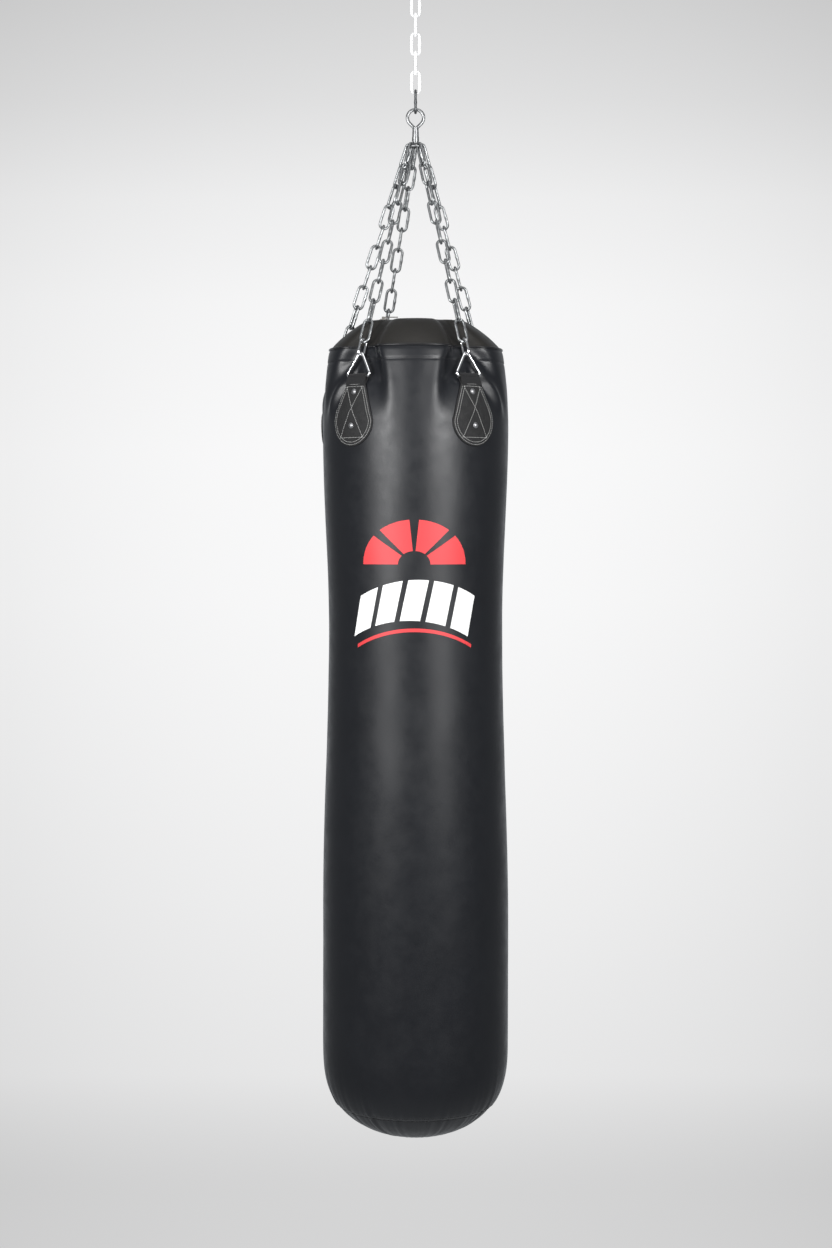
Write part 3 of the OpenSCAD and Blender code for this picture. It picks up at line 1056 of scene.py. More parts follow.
@dataclass
class BagForm:
    """The stuffed cover's shape, with its dents, folds and lumps."""

    length: float = 1.535
    belly_r: float = 0.175
    belly_h: float = 0.400
    waist_r: float = 0.163
    waist_h: float = 0.960
    chest_r: float = 0.174
    chest_h: float = 1.346
    seam_r: float = 0.162
    seam_h: float = 1.478
    round_h: float = 0.190
    round_power: float = 3.3
    bottom_seam_h: float = 0.059
    lid_power: float = 3.45
    hem_h: float = 1.454
    dent_heights: Point = (1.380, 1.478)
    dent_widths: Point = (0.052, 0.034)
    dent_power: float = 5.0
    fold_reach: float = 0.25
    hem_step: float = 0.0005
    hem_groove: float = 0.0009
    welt_groove: float = 0.0012
    bottom_groove: float = 0.0034
    gather_size: float = 0.0030
    gather_reach: float = 0.030
    floor_z: float = field(default_factory=lambda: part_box("bottom_panel")[0][2])

    def z(self, h: np.ndarray) -> np.ndarray:
        """Height in the frame, from height on the bag."""
        return self.floor_z + h

    def plain_r(self, h: np.ndarray) -> np.ndarray:
        """The cover's radius before any dent or fold.

        Args:
            h: heights.

        Returns:
            Radii.
        """
        rise = np.clip((h - self.belly_h) / (self.waist_h - self.belly_h), 0.0, 1.0)
        low = self.belly_r + (self.waist_r - self.belly_r) * (1.0 - np.cos(np.pi * rise)) / 2.0
        rise = np.clip((h - self.waist_h) / (self.chest_h - self.waist_h), 0.0, 1.0)
        high = (self.chest_r - self.waist_r) * (1.0 - np.cos(np.pi * rise)) / 2.0
        above = np.clip((h - self.chest_h) / (self.seam_h - self.chest_h), 0.0, 1.2)
        shoulder = (self.chest_r - self.seam_r) * above**2
        below = np.clip(1.0 - h / self.round_h, 0.0, 1.0) ** self.round_power
        return (low + high - shoulder) * np.sqrt(np.clip(1.0 - below, 0.0, 1.0))

    def bottom_height(self, r: np.ndarray) -> np.ndarray:
        """The bottom panel's height at a radius."""
        rise = 1.0 - (np.asarray(r) / self.belly_r) ** 2
        return self.round_h * (1.0 - rise ** (1.0 / self.round_power))

    def dent(self, turn: np.ndarray, h: np.ndarray) -> np.ndarray:
        """How far the straps pull the cover in.

        Args:
            turn: turns round the bag, in degrees.
            h: heights.

        Returns:
            Depths.
        """
        depth = smooth_curve(DENT_DEPTHS, h, 0.004)
        width = np.interp(h, self.dent_heights, self.dent_widths)
        total = np.zeros(np.broadcast(turn, h).shape)
        for strap_turn in STRAP_TURN.values():
            beside = np.radians(wrapped(turn - strap_turn)) * self.seam_r
            total = np.maximum(total, depth / (1.0 + np.abs(beside / width) ** self.dent_power))
        return total

    def folds(self, turn: np.ndarray, h: np.ndarray) -> np.ndarray:
        """Creases and ridges that run from the straps.

        Args:
            turn: turns round the bag, in degrees.
            h: heights.

        Returns:
            How far the skin stands proud.
        """
        rng = np.random.default_rng(SEED)
        turns = sorted(STRAP_TURN.values())
        total = np.zeros(np.broadcast(turn, h).shape)
        front = (STRAP_TURN[Strap.FRONT_LEFT], STRAP_TURN[Strap.FRONT_RIGHT])
        wide_gap = front[1] - front[0]
        for number, strap_turn in enumerate(turns):
            for side in (-1, 1):
                neighbour = turns[(number + side) % len(turns)]
                gap = abs(wrapped(neighbour - strap_turn))
                narrow = min(1.0, gap / wide_gap)
                faces_front = strap_turn in front and neighbour in front
                beside = side * np.radians(wrapped(turn - strap_turn)) * self.seam_r
                here = (beside > 0.0) & (beside < self.fold_reach)
                inner = 1.0 if faces_front else rng.uniform(0.45, 0.85)
                outer = 0.0 if faces_front else 1.0 if strap_turn in front else rng.uniform(0.5, 0.9)
                for strength, folds in ((inner, INNER_FOLDS), (outer, OUTER_FOLDS)):
                    for fold in folds:
                        total += np.where(here, strength * fold.relief(beside, h, narrow), 0.0)
        return total

    def lumps(self, turn: np.ndarray, h: np.ndarray) -> np.ndarray:
        """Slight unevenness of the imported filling.

        Args:
            turn: turns round the bag, in degrees.
            h: heights.

        Returns:
            How far the skin stands proud.
        """
        rng = np.random.default_rng(SEED + 1)
        total = np.zeros(np.broadcast(turn, h).shape)
        for waves, around_range, up_range, size_range in (
            (14, (1, 5), (4.0, 22.0), (0.00008, 0.0002)),
            (10, (6, 14), (25.0, 70.0), (0.00003, 0.00008)),
        ):
            for _ in range(waves):
                around = rng.integers(*around_range)
                up = rng.uniform(*up_range)
                start, start_h = rng.uniform(0.0, 2.0 * np.pi, 2)
                size = rng.uniform(*size_range)
                total += size * np.sin(np.radians(turn) * around + start) * np.sin(up * h + start_h)
        return total

    def gathers(self, turn: np.ndarray) -> np.ndarray:
        """Uneven puckers along the bottom seam.

        Args:
            turn: turns round the bag, in degrees.

        Returns:
            Heights of the puckers, from -1 to 1.
        """
        around = np.radians(turn)
        swell = 0.6 + 0.4 * np.sin(5 * around + 1.1) * np.sin(3 * around + 0.4)
        pucker = np.sin(37 * around + 1.3 * np.sin(4 * around)) + 0.7 * np.sin(53 * around + 2.1)
        return swell * (pucker + 0.5 * np.sin(71 * around + 0.7)) / 2.2

    def cover_r(self, turn: np.ndarray, h: np.ndarray) -> np.ndarray:
        """The finished cover's outer radius.

        Args:
            turn: turns round the bag, in degrees.
            h: heights.

        Returns:
            Radii.
        """
        r = self.plain_r(h) - self.dent(turn, h) + self.folds(turn, h) + self.lumps(turn, h)
        hem = self.hem_step / (1.0 + np.exp((self.hem_h - h) / 0.0008))
        groove = self.hem_groove * bell(h - self.hem_h, 0.0016)
        under_welt = self.welt_groove * bell(h - self.seam_h, 0.003)
        above_seam = h - self.bottom_seam_h
        seam = self.bottom_groove * bell(above_seam, 0.0030)
        fade = np.exp(-np.abs(above_seam) / self.gather_reach)
        pucker = self.gather_size * fade * self.gathers(turn)
        return r + hem - groove - under_welt - seam + pucker

    def point(self, turn: np.ndarray, r: np.ndarray, h: np.ndarray) -> np.ndarray:
        """Points in the frame.

        Args:
            turn: turns round the bag, in degrees.
            r: distances from the bag's axis.
            h: heights.

        Returns:
            Points, with X, Y and Z in the last axis.
        """
        turn, r, h = np.broadcast_arrays(turn, r, h)
        around = np.radians(turn)
        return np.stack([r * np.sin(around), -r * np.cos(around), self.z(h)], axis=-1)

    def seam_path(self, h: float, proud: float, steps: int = 360) -> np.ndarray:
        """Points along a level seam on the cover.

        Args:
            h: the seam's height.
            proud: how far the path stands off the cover.
            steps: how many points it has.

        Returns:
            The points, the last one beside the first.
        """
        turn = np.arange(steps) * 360.0 / steps
        height = np.full(steps, h)
        return self.point(turn, self.cover_r(turn, height) + proud, height)

    def laid(self, turn: float, across: np.ndarray, h: np.ndarray, proud: float) -> np.ndarray:
        """Points on the cover, from a flat pattern.

        Args:
            turn: turn of the pattern's centre line, in degrees.
            across: distances to the right of the centre line, along the skin.
            h: heights.
            proud: how far the points stand off the cover.

        Returns:
            Points in the frame.
        """
        turns = turn + np.degrees(across / self.plain_r(np.full(np.shape(h), 1.0)))
        return self.point(turns, self.cover_r(turns, h) + proud, h)


FORM = BagForm()


# ---------------------------------------------------------------------------------------------
# The bag
# ---------------------------------------------------------------------------------------------


@dataclass
class Cover:
    """The vinyl cover: side wall, lid, bottom panel, welts and seam stitches."""

    columns: int = 312
    thickness: float = 0.0025
    lid_rows: int = 46
    bottom_rows: int = 26
    welt_thick: float = 0.0046
    bottom_welt_thick: float = 0.0026
    zip_half: Point = (0.074, 0.017)
    stitch_step: float = 0.0042
    lid_puff: float = 0.0045
    puff_share: float = 0.58
    puff_spread: float = 0.12
    pleat_rise: float = 0.0030
    pleat_turn: float = 13.0
    pleat_dip: float = 0.0034
    lid_ripple: float = 0.0008
    zip_depth: float = 0.0006
    zip_fade: float = 0.018

    def heights(self) -> np.ndarray:
        """Heights of the wall's rows, closer where the cover is creased.

        Returns:
            Heights, rising.
        """
        low = np.arange(FORM.bottom_seam_h, 0.200, 0.004)
        plain = np.arange(0.200, 1.240, 0.016)
        fine = np.arange(1.240, 1.446, 0.0042)
        hem = np.arange(1.446, FORM.seam_h, 0.0016)
        return np.concatenate([low, plain, fine, hem, [FORM.seam_h]])

    def wall(self) -> bpy.types.Object:
        """Builds the side wall.

        Returns:
            The wall.
        """
        turn = even_turns(self.columns)
        h = self.heights()[:, None]
        outer = FORM.point(turn, FORM.cover_r(turn, h), h)
        wall = closed_sheet("cover_wall", outer, self.thickness, Finish.BAG_VINYL, sharp=70.0)
        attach(wall, "bag")
        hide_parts("bag_shell")
        return wall

    def lid_height(self, turn: np.ndarray, share: np.ndarray) -> np.ndarray:
        """The lid's height.

        Args:
            turn: turns round the bag, in degrees.
            share: distances from the axis, as shares of the seam's radius.

        Returns:
            Heights on the bag.
        """
        crown = FORM.length - FORM.seam_h
        h = FORM.seam_h + crown * (1.0 - share**FORM.lid_power)
        around = np.radians(turn)
        h = h + self.lid_puff * bell(share - self.puff_share, self.puff_spread)
        edge = np.clip(share, 0.0, 1.0) ** 4 * (1.0 - share**14)
        pleats = np.zeros(np.broadcast(turn, share).shape)
        for strap_turn in STRAP_TURN.values():
            off = wrapped(turn - strap_turn)
            pleats += self.pleat_rise * bell(np.abs(off) - self.pleat_turn, 3.2)
            pleats -= self.pleat_dip * bell(off, 6.5)
        ripple = self.lid_ripple * np.sin(9 * around + 0.6) * np.sin(5 * around + 2.0)
        return h + edge * (pleats + ripple)

    def lid(self) -> bpy.types.Object:
        """Builds the lid, level under its zip.

        Returns:
            The lid.
        """
        turn = even_turns(self.columns)
        share = (1.0 - np.linspace(0.0, 1.0, self.lid_rows, endpoint=False) ** 1.35)[:, None]
        rim = FORM.cover_r(turn, np.full(turn.shape, FORM.seam_h))
        h = self.lid_height(turn, share)
        r = share * rim
        level = FORM.length - self.zip_depth
        x, y = r * np.sin(np.radians(turn)), r * np.cos(np.radians(turn))
        half_x, half_y = self.zip_half
        off = np.hypot(np.maximum(np.abs(x) - half_x, 0.0), np.maximum(np.abs(y) - half_y, 0.0))
        flat = np.exp(-((off / self.zip_fade) ** 2))
        h = h * (1.0 - flat) + level * flat
        outer = FORM.point(np.broadcast_to(turn, h.shape), r, h)
        lid = closed_sheet(
            "cover_lid", outer, self.thickness, Finish.LID_VINYL, high_pole=True, sharp=70.0
        )
        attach(lid, "bag")
        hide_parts("top_lid")
        return lid

    def bottom(self) -> bpy.types.Object:
        """Builds the bottom panel, gathered at its seam.

        Returns:
            The panel.
        """
        turn = even_turns(self.columns)
        share = (np.linspace(0.0, 1.0, self.bottom_rows + 1)[1:] ** 0.8)[:, None]
        seam = np.full(turn.shape, FORM.bottom_seam_h)
        rim = FORM.cover_r(turn, seam)
        plain = FORM.plain_r(seam)
        h = FORM.bottom_height(share * plain)
        pucker = 0.0009 * share**12 * (1.0 - share**60) * FORM.gathers(turn + 2.0)
        outer = FORM.point(turn, share * rim, h - pucker)
        panel = closed_sheet(
            "bottom_cap", outer, self.thickness, Finish.BAG_VINYL, low_pole=True, sharp=70.0
        )
        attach(panel, "bag")
        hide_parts("bottom_panel")
        return panel

    def welts(self) -> list[bpy.types.Object]:
        """Builds the piping in the top and bottom seams.

        Returns:
            The two pieces.
        """
        made = []
        tree = piping_tree()
        for name, h, thick, drop, node in (
            ("top_piping", FORM.seam_h + 0.0012, self.welt_thick, 0.0, "top_welt"),
            ("bottom_piping", FORM.bottom_seam_h, self.bottom_welt_thick, 0.0008, "bottom_welt"),
        ):
            path = FORM.seam_path(h, -drop)
            count = len(path)
            edges = [(i, (i + 1) % count) for i in range(count)]
            piping = tree.run(name, path, Finish.WELT_VINYL, edges=edges, Thickness=thick)
            face_outwards(piping)
            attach(piping, "bag")
            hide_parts(node)
            made.append(piping)
        return made

    def seam_stitches(self) -> bpy.types.Object:
        """Sews the hem under the welt and the bottom seam with black thread.

        Returns:
            The stitches.
        """
        rows = []
        for h in (FORM.hem_h + 0.0012, FORM.bottom_seam_h + 0.0055):
            count = int(2 * np.pi * FORM.plain_r(np.array(h)) / self.stitch_step)
            turn = np.arange(count) * 360.0 / count
            height = np.full(count, h)
            points = FORM.point(turn, FORM.cover_r(turn, height) + 0.00015, height)
            way = np.roll(points, -1, axis=0) - points
            around = np.radians(turn)
            up = np.stack([np.sin(around), -np.cos(around), np.zeros(count)], axis=-1)
            rows.append((points, way, up))
        points, way, up = (np.concatenate(part) for part in zip(*rows))
        sewn = stitch_tree().run(
            "seam_stitches",
            points,
            Finish.THREAD_BLACK,
            way,
            up,
            Length=0.0030,
            Width=0.0008,
            Height=0.0008,
        )
        face_outwards(sewn)
        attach(sewn, "bag")
        return sewn

    def build(self) -> None:
        """Builds the whole cover."""
        LOG.info("cover wall: %d faces", len(self.wall().data.polygons))
        LOG.info("lid: %d faces", len(self.lid().data.polygons))
        LOG.info("bottom panel: %d faces", len(self.bottom().data.polygons))
        LOG.info("welts: %d pieces", len(self.welts()))
        LOG.info("seam stitches: %d faces", len(self.seam_stitches().data.polygons))


@dataclass
class Stuffing:
    """What fills the cover: a foam sleeve round packed cloth."""

    columns: int = 120
    foam_gap: float = 0.0030
    foam_t: float = 0.0118
    filling_gap: float = 0.0152
    top_h: float = 1.470

    def skin(self, inset: float, low_h: float, high_h: float, step: float) -> np.ndarray:
        """A level grid at an even distance inside the cover.

        Args:
            inset: distance inside the cover's outer face.
            low_h: the lowest row's height.
            high_h: the highest row's height.
            step: distance between rows.

        Returns:
            Rows x columns x 3 points.
        """
        turn = even_turns(self.columns)
        h = np.linspace(low_h, high_h, int((high_h - low_h) / step) + 1)[:, None]
        return FORM.point(turn, FORM.cover_r(turn, h) - inset, h)

    def foam(self) -> bpy.types.Object:
        """Builds the foam sleeve.

        Returns:
            The sleeve.
        """
        low = FORM.bottom_seam_h + 0.020
        outer = self.skin(self.foam_gap, low, self.top_h, 0.009)
        inner = self.skin(self.foam_gap + self.foam_t, low, self.top_h, 0.009)
        foam = closed_sheet("foam_liner", outer, self.foam_t, Finish.LINER_FOAM, inner=inner)
        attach(foam, "bag")
        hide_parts("foam_sleeve")
        return foam

    def filling(self) -> bpy.types.Object:
        """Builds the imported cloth, lumpy at its top.

        Returns:
            The filling.
        """
        body = self.skin(self.filling_gap, FORM.bottom_seam_h + 0.004, self.top_h, 0.012)
        share = np.linspace(0.93, 0.15, 9)[:, None]
        turn = even_turns(self.columns)
        top_r = np.hypot(body[-1, :, 0], body[-1, :, 1])[None, :]
        lumpy = 0.003 * np.sin(np.radians(turn) * 5) * np.sin(share * 9.0)
        cap_h = self.top_h + 0.034 * (1.0 - share**3.0) + lumpy
        cap = FORM.point(turn, share * top_r, cap_h)
        foot_share = np.linspace(0.12, 0.96, 9)[:, None]
        foot_r = np.hypot(body[0, :, 0], body[0, :, 1])[None, :]
        low_h = FORM.bottom_height(foot_share * FORM.plain_r(np.array(FORM.bottom_seam_h))) + 0.006
        foot = FORM.point(turn, foot_share * foot_r, low_h + np.zeros(turn.shape))
        grid = np.concatenate([foot, body, cap])
        rows, cols = grid.shape[:2]
        faces = []
        for i in range(rows - 1):
            for j in range(cols):
                a, b = i * cols + j, i * cols + (j + 1) % cols
                faces.append((a, b, b + cols, a + cols))
        faces.append(tuple(range(cols))[::-1])
        faces.append(tuple((rows - 1) * cols + j for j in range(cols)))
        filling = new_piece("packed_filling", grid.reshape(-1, 3), faces, Finish.RAG_FILLING)
        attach(filling, "bag")
        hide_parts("filling")
        return filling

    def build(self) -> None:
        """Builds the foam and the filling."""
        LOG.info("foam: %d faces", len(self.foam().data.polygons))
        LOG.info("filling: %d faces", len(self.filling().data.polygons))


# ---------------------------------------------------------------------------------------------
# Straps
# ---------------------------------------------------------------------------------------------


@dataclass
class StrapSet:
    """Strap patches, webbing loops, stitching and rivets."""

    patch_low: float = 1.296
    patch_wide_h: float = 1.343
    patch_top: float = 1.412
    patch_half: float = 0.047
    neck_half: float = 0.0215
    bend_h: float = 1.358
    air: float = 0.0006
    lean: float = 0.21
    leather_t: float = 0.003
    webbing_half: float = 0.0225
    webbing_t: float = 0.0026
    bar_r: float = 0.157
    bar_h: float = 1.424
    bar_wire: float = 0.0052
    rivet_heights: Point = (1.334, 1.396)
    stitch_step: float = 0.0034

    def back_r(self, h: np.ndarray) -> np.ndarray:
        """Radius of the patch's back face along the strap's centre line."""
        flat = FORM.plain_r(np.minimum(h, self.bend_h)) + self.air
        return flat - np.maximum(h - self.bend_h, 0.0) * self.lean

    def half_width(self, h: np.ndarray) -> np.ndarray:
        """Half the patch's width.

        Args:
            h: heights.

        Returns:
            Half widths.
        """
        low = np.sqrt(np.clip(self.patch_half**2 - (self.patch_wide_h - h) ** 2, 0.0, None))
        rise = np.clip((h - self.patch_wide_h) / (self.patch_top - self.patch_wide_h), 0.0, 1.0)
        high = self.patch_half + (self.neck_half - self.patch_half) * rise**1.15
        return np.where(h < self.patch_wide_h, low, high)

    def face(self, turn: float, across: np.ndarray, h: np.ndarray, proud: float) -> np.ndarray:
        """Points over the patch's back face, which also clears the cover.

        Args:
            turn: the strap's turn round the bag.
            across: distances to the right of the strap's centre line.
            h: heights.
            proud: distance from the back face.

        Returns:
            Points in the frame.
        """
        across, h = np.broadcast_arrays(across, h)
        turns = turn + np.degrees(across / self.back_r(h))
        r = np.maximum(self.back_r(h), FORM.cover_r(turns, h) + 0.0003)
        return FORM.point(turns, r + proud, h)

    def patch(self, strap: Strap) -> bpy.types.Object:
        """Builds one leather patch with rounded edges.

        Args:
            strap: which strap it belongs to.

        Returns:
            The patch.
        """
        turn = STRAP_TURN[strap]
        round_end = self.patch_wide_h - self.patch_half * np.cos(np.linspace(0.12, np.pi / 2, 18))
        straight = np.linspace(self.patch_wide_h, self.patch_top, 22)[1:]
        h = np.concatenate([round_end, straight])[:, None]
        half = self.half_width(h)
        spread = np.sin(np.linspace(-1.0, 1.0, 27) * np.pi / 2)[None, :]
        across = half * spread
        from_end = np.minimum(h - self.patch_low, self.patch_top - h)
        from_edge = np.minimum(half - np.abs(across), from_end)
        round_off = np.clip(1.0 - from_edge / 0.0022, 0.0, 1.0) ** 2 * 0.0012
        quilted = 0.0004 * bell(from_edge - 0.0052, 0.0022)
        relief = (quilted - round_off)[..., None]
        outer = self.face(turn, across, h, self.leather_t) + self.outward(turn, across) * relief
        inner = self.face(turn, across, h, 0.0)
        patch = closed_sheet(
            "patch_" + strap.value,
            outer,
            self.leather_t,
            Finish.PATCH_LEATHER,
            wrap=False,
            inner=inner,
            sharp=40.0,
        )
        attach(patch, "bag")
        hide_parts("strap_patch_" + strap.value)
        return patch

    def outward(self, turn: float, across: np.ndarray) -> np.ndarray:
        """Level directions straight out of the bag."""
        around = np.radians(turn + np.degrees(across / self.bar_r))
        return np.stack([np.sin(around), -np.cos(around), np.zeros(np.shape(across))], axis=-1)

    def webbing(self, strap: Strap) -> bpy.types.Object:
        """Builds the webbing that comes over the patch's top and closes round the ring's bar.

        Args:
            strap: which strap it belongs to.

        Returns:
            The webbing.
        """
        turn = math.radians(STRAP_TURN[strap])
        way_out = np.array([math.sin(turn), -math.cos(turn), 0.0])
        way_right = np.array([math.cos(turn), math.sin(turn), 0.0])
        middle = self.bar_wire / 2 + 0.0003 + self.webbing_t / 2
        foot_r = float(self.back_r(np.array(self.patch_top))) + self.leather_t * 0.55
        foot_h = self.patch_top - 0.004
        loop = [(foot_r + 0.0012, foot_h)]
        for step in np.linspace(-20.0, 200.0, 23):
            a = math.radians(step)
            loop.append((self.bar_r + middle * math.cos(a), self.bar_h + middle * math.sin(a)))
        loop.append((foot_r - 0.0012, foot_h))
        path = np.array(loop)
        ahead = np.gradient(path, axis=0)
        ahead /= np.linalg.norm(ahead, axis=1, keepdims=True)
        side = np.stack([ahead[:, 1], -ahead[:, 0]], axis=1)
        along = np.concatenate([[0.0], np.cumsum(np.linalg.norm(np.diff(path, axis=0), axis=1))])
        columns = np.linspace(-1.0, 1.0, 15)
        grids = []
        for offset in (self.webbing_t / 2, -self.webbing_t / 2):
            rim = path + side * offset
            waist = 1.0 - 0.05 * bell(path[:, 1] - self.bar_h, 0.004)
            places = (
                way_out * rim[:, None, 0:1]
                + way_right * (columns[None, :] * self.webbing_half * waist[:, None])[..., None]
                + np.array([0.0, 0.0, 1.0]) * FORM.z(rim[:, None, 1:2])
            )
            grids.append(places)
        widths = columns[None, :] * self.webbing_half
        webbing = closed_sheet(
            "webbing_" + strap.value,
            grids[0],
            self.webbing_t,
            Finish.WEBBING,
            wrap=False,
            inner=grids[1],
            uvs=np.stack(np.broadcast_arrays(along[:, None], widths), axis=-1),
            sharp=60.0,
        )
        face_outwards(webbing)
        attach(webbing, "bag")
        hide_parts("strap_webbing_" + strap.value)
        return webbing

    def lines(self) -> list[np.ndarray]:
        """Stitch lines of one patch.

        Returns:
            Paths of distance across and height.
        """
        made = []
        for inset in (0.0032, 0.0078):
            arc = np.linspace(-np.pi / 2, np.pi / 2, 60)
            radius = self.patch_half - inset
            low = np.stack([radius * np.sin(arc), self.patch_wide_h - radius * np.cos(arc)], axis=1)
            h = np.linspace(self.patch_wide_h, self.patch_top - 0.007, 30)[1:]
            right = np.stack([self.half_width(h) - inset, h], axis=1)
            left = right[::-1] * np.array([-1.0, 1.0])
            made.append(np.concatenate([left, low, right]))
        neck = self.neck_half - 0.002
        for h in (self.patch_top - 0.003, self.patch_top - 0.007):
            made.append(np.array([[-neck, h], [neck, h]]))
        low_h, high_h = self.patch_low + 0.016, self.patch_top - 0.007
        made.append(np.array([[-0.019, high_h], [0.027, low_h]]))
        made.append(np.array([[0.019, high_h], [-0.027, low_h]]))
        made.append(np.array([[-0.030, low_h], [0.030, low_h]]))
        return made

    def stitches(self) -> bpy.types.Object:
        """Sews every patch with pale thread.

        Returns:
            The stitches.
        """
        points, ways, ups = [], [], []
        for turn in STRAP_TURN.values():
            for line in self.lines():
                lengths = np.linalg.norm(np.diff(line, axis=0), axis=1)
                reach = np.concatenate([[0.0], np.cumsum(lengths)])
                count = max(2, int(reach[-1] / self.stitch_step))
                at = (np.arange(count) + 0.5) * reach[-1] / count
                across, h = (np.interp(at, reach, line[:, axis]) for axis in (0, 1))
                ahead = at + 0.0005
                next_across, next_h = (np.interp(ahead, reach, line[:, axis]) for axis in (0, 1))
                here = self.face(turn, across, h, self.leather_t + 0.0002)
                there = self.face(turn, next_across, next_h, self.leather_t + 0.0002)
                points.append(here)
                ways.append(there - here)
                ups.append(self.outward(turn, across))
        sewn = stitch_tree().run(
            "patch_stitches",
            np.concatenate(points),
            Finish.THREAD_GREY,
            np.concatenate(ways),
            np.concatenate(ups),
            Length=0.0028,
            Width=0.0011,
            Height=0.0010,
        )
        face_outwards(sewn)
        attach(sewn, "bag")
        return sewn

    def rivets(self) -> bpy.types.Object:
        """Sets two domed rivets in each patch.

        Returns:
            The rivets' heads.
        """
        points, ups, ways = [], [], []
        for turn in STRAP_TURN.values():
            for h in self.rivet_heights:
                middle = np.zeros(1)
                points.append(self.face(turn, middle, np.array([h]), self.leather_t - 0.0002)[0])
                level = self.outward(turn, middle)[0]
                tip = self.lean if h > self.bend_h else 0.0
                ups.append(level + np.array([0.0, 0.0, tip]))
                ways.append(np.cross(level, (0.0, 0.0, 1.0)))
        heads = rivet_tree().run(
            "rivet_heads",
            np.array(points),
            Finish.RIVET_STEEL,
            np.array(ways),
            np.array(ups),
            Diameter=0.011,
            Height=0.0027,
        )
        face_outwards(heads)
        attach(heads, "bag")
        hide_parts("strap_rivets")
        return heads

    def build(self) -> None:
        """Builds every strap's pieces."""
        for strap in Strap:
            LOG.info("patch %s: %d faces", strap.value, len(self.patch(strap).data.polygons))
            LOG.info("webbing %s: %d faces", strap.value, len(self.webbing(strap).data.polygons))
        LOG.info("patch stitches: %d faces", len(self.stitches().data.polygons))
        LOG.info("rivets: %d faces", len(self.rivets().data.polygons))


# ---------------------------------------------------------------------------------------------
# Chains
# ---------------------------------------------------------------------------------------------


def unit(vector: np.ndarray) -> np.ndarray:
    """A vector's direction."""
    return vector / np.linalg.norm(vector)


def square_to(vector: np.ndarray, way: np.ndarray) -> np.ndarray:
    """The part of a vector that is square to a way, as a direction."""
    return unit(vector - way * np.dot(vector, way))


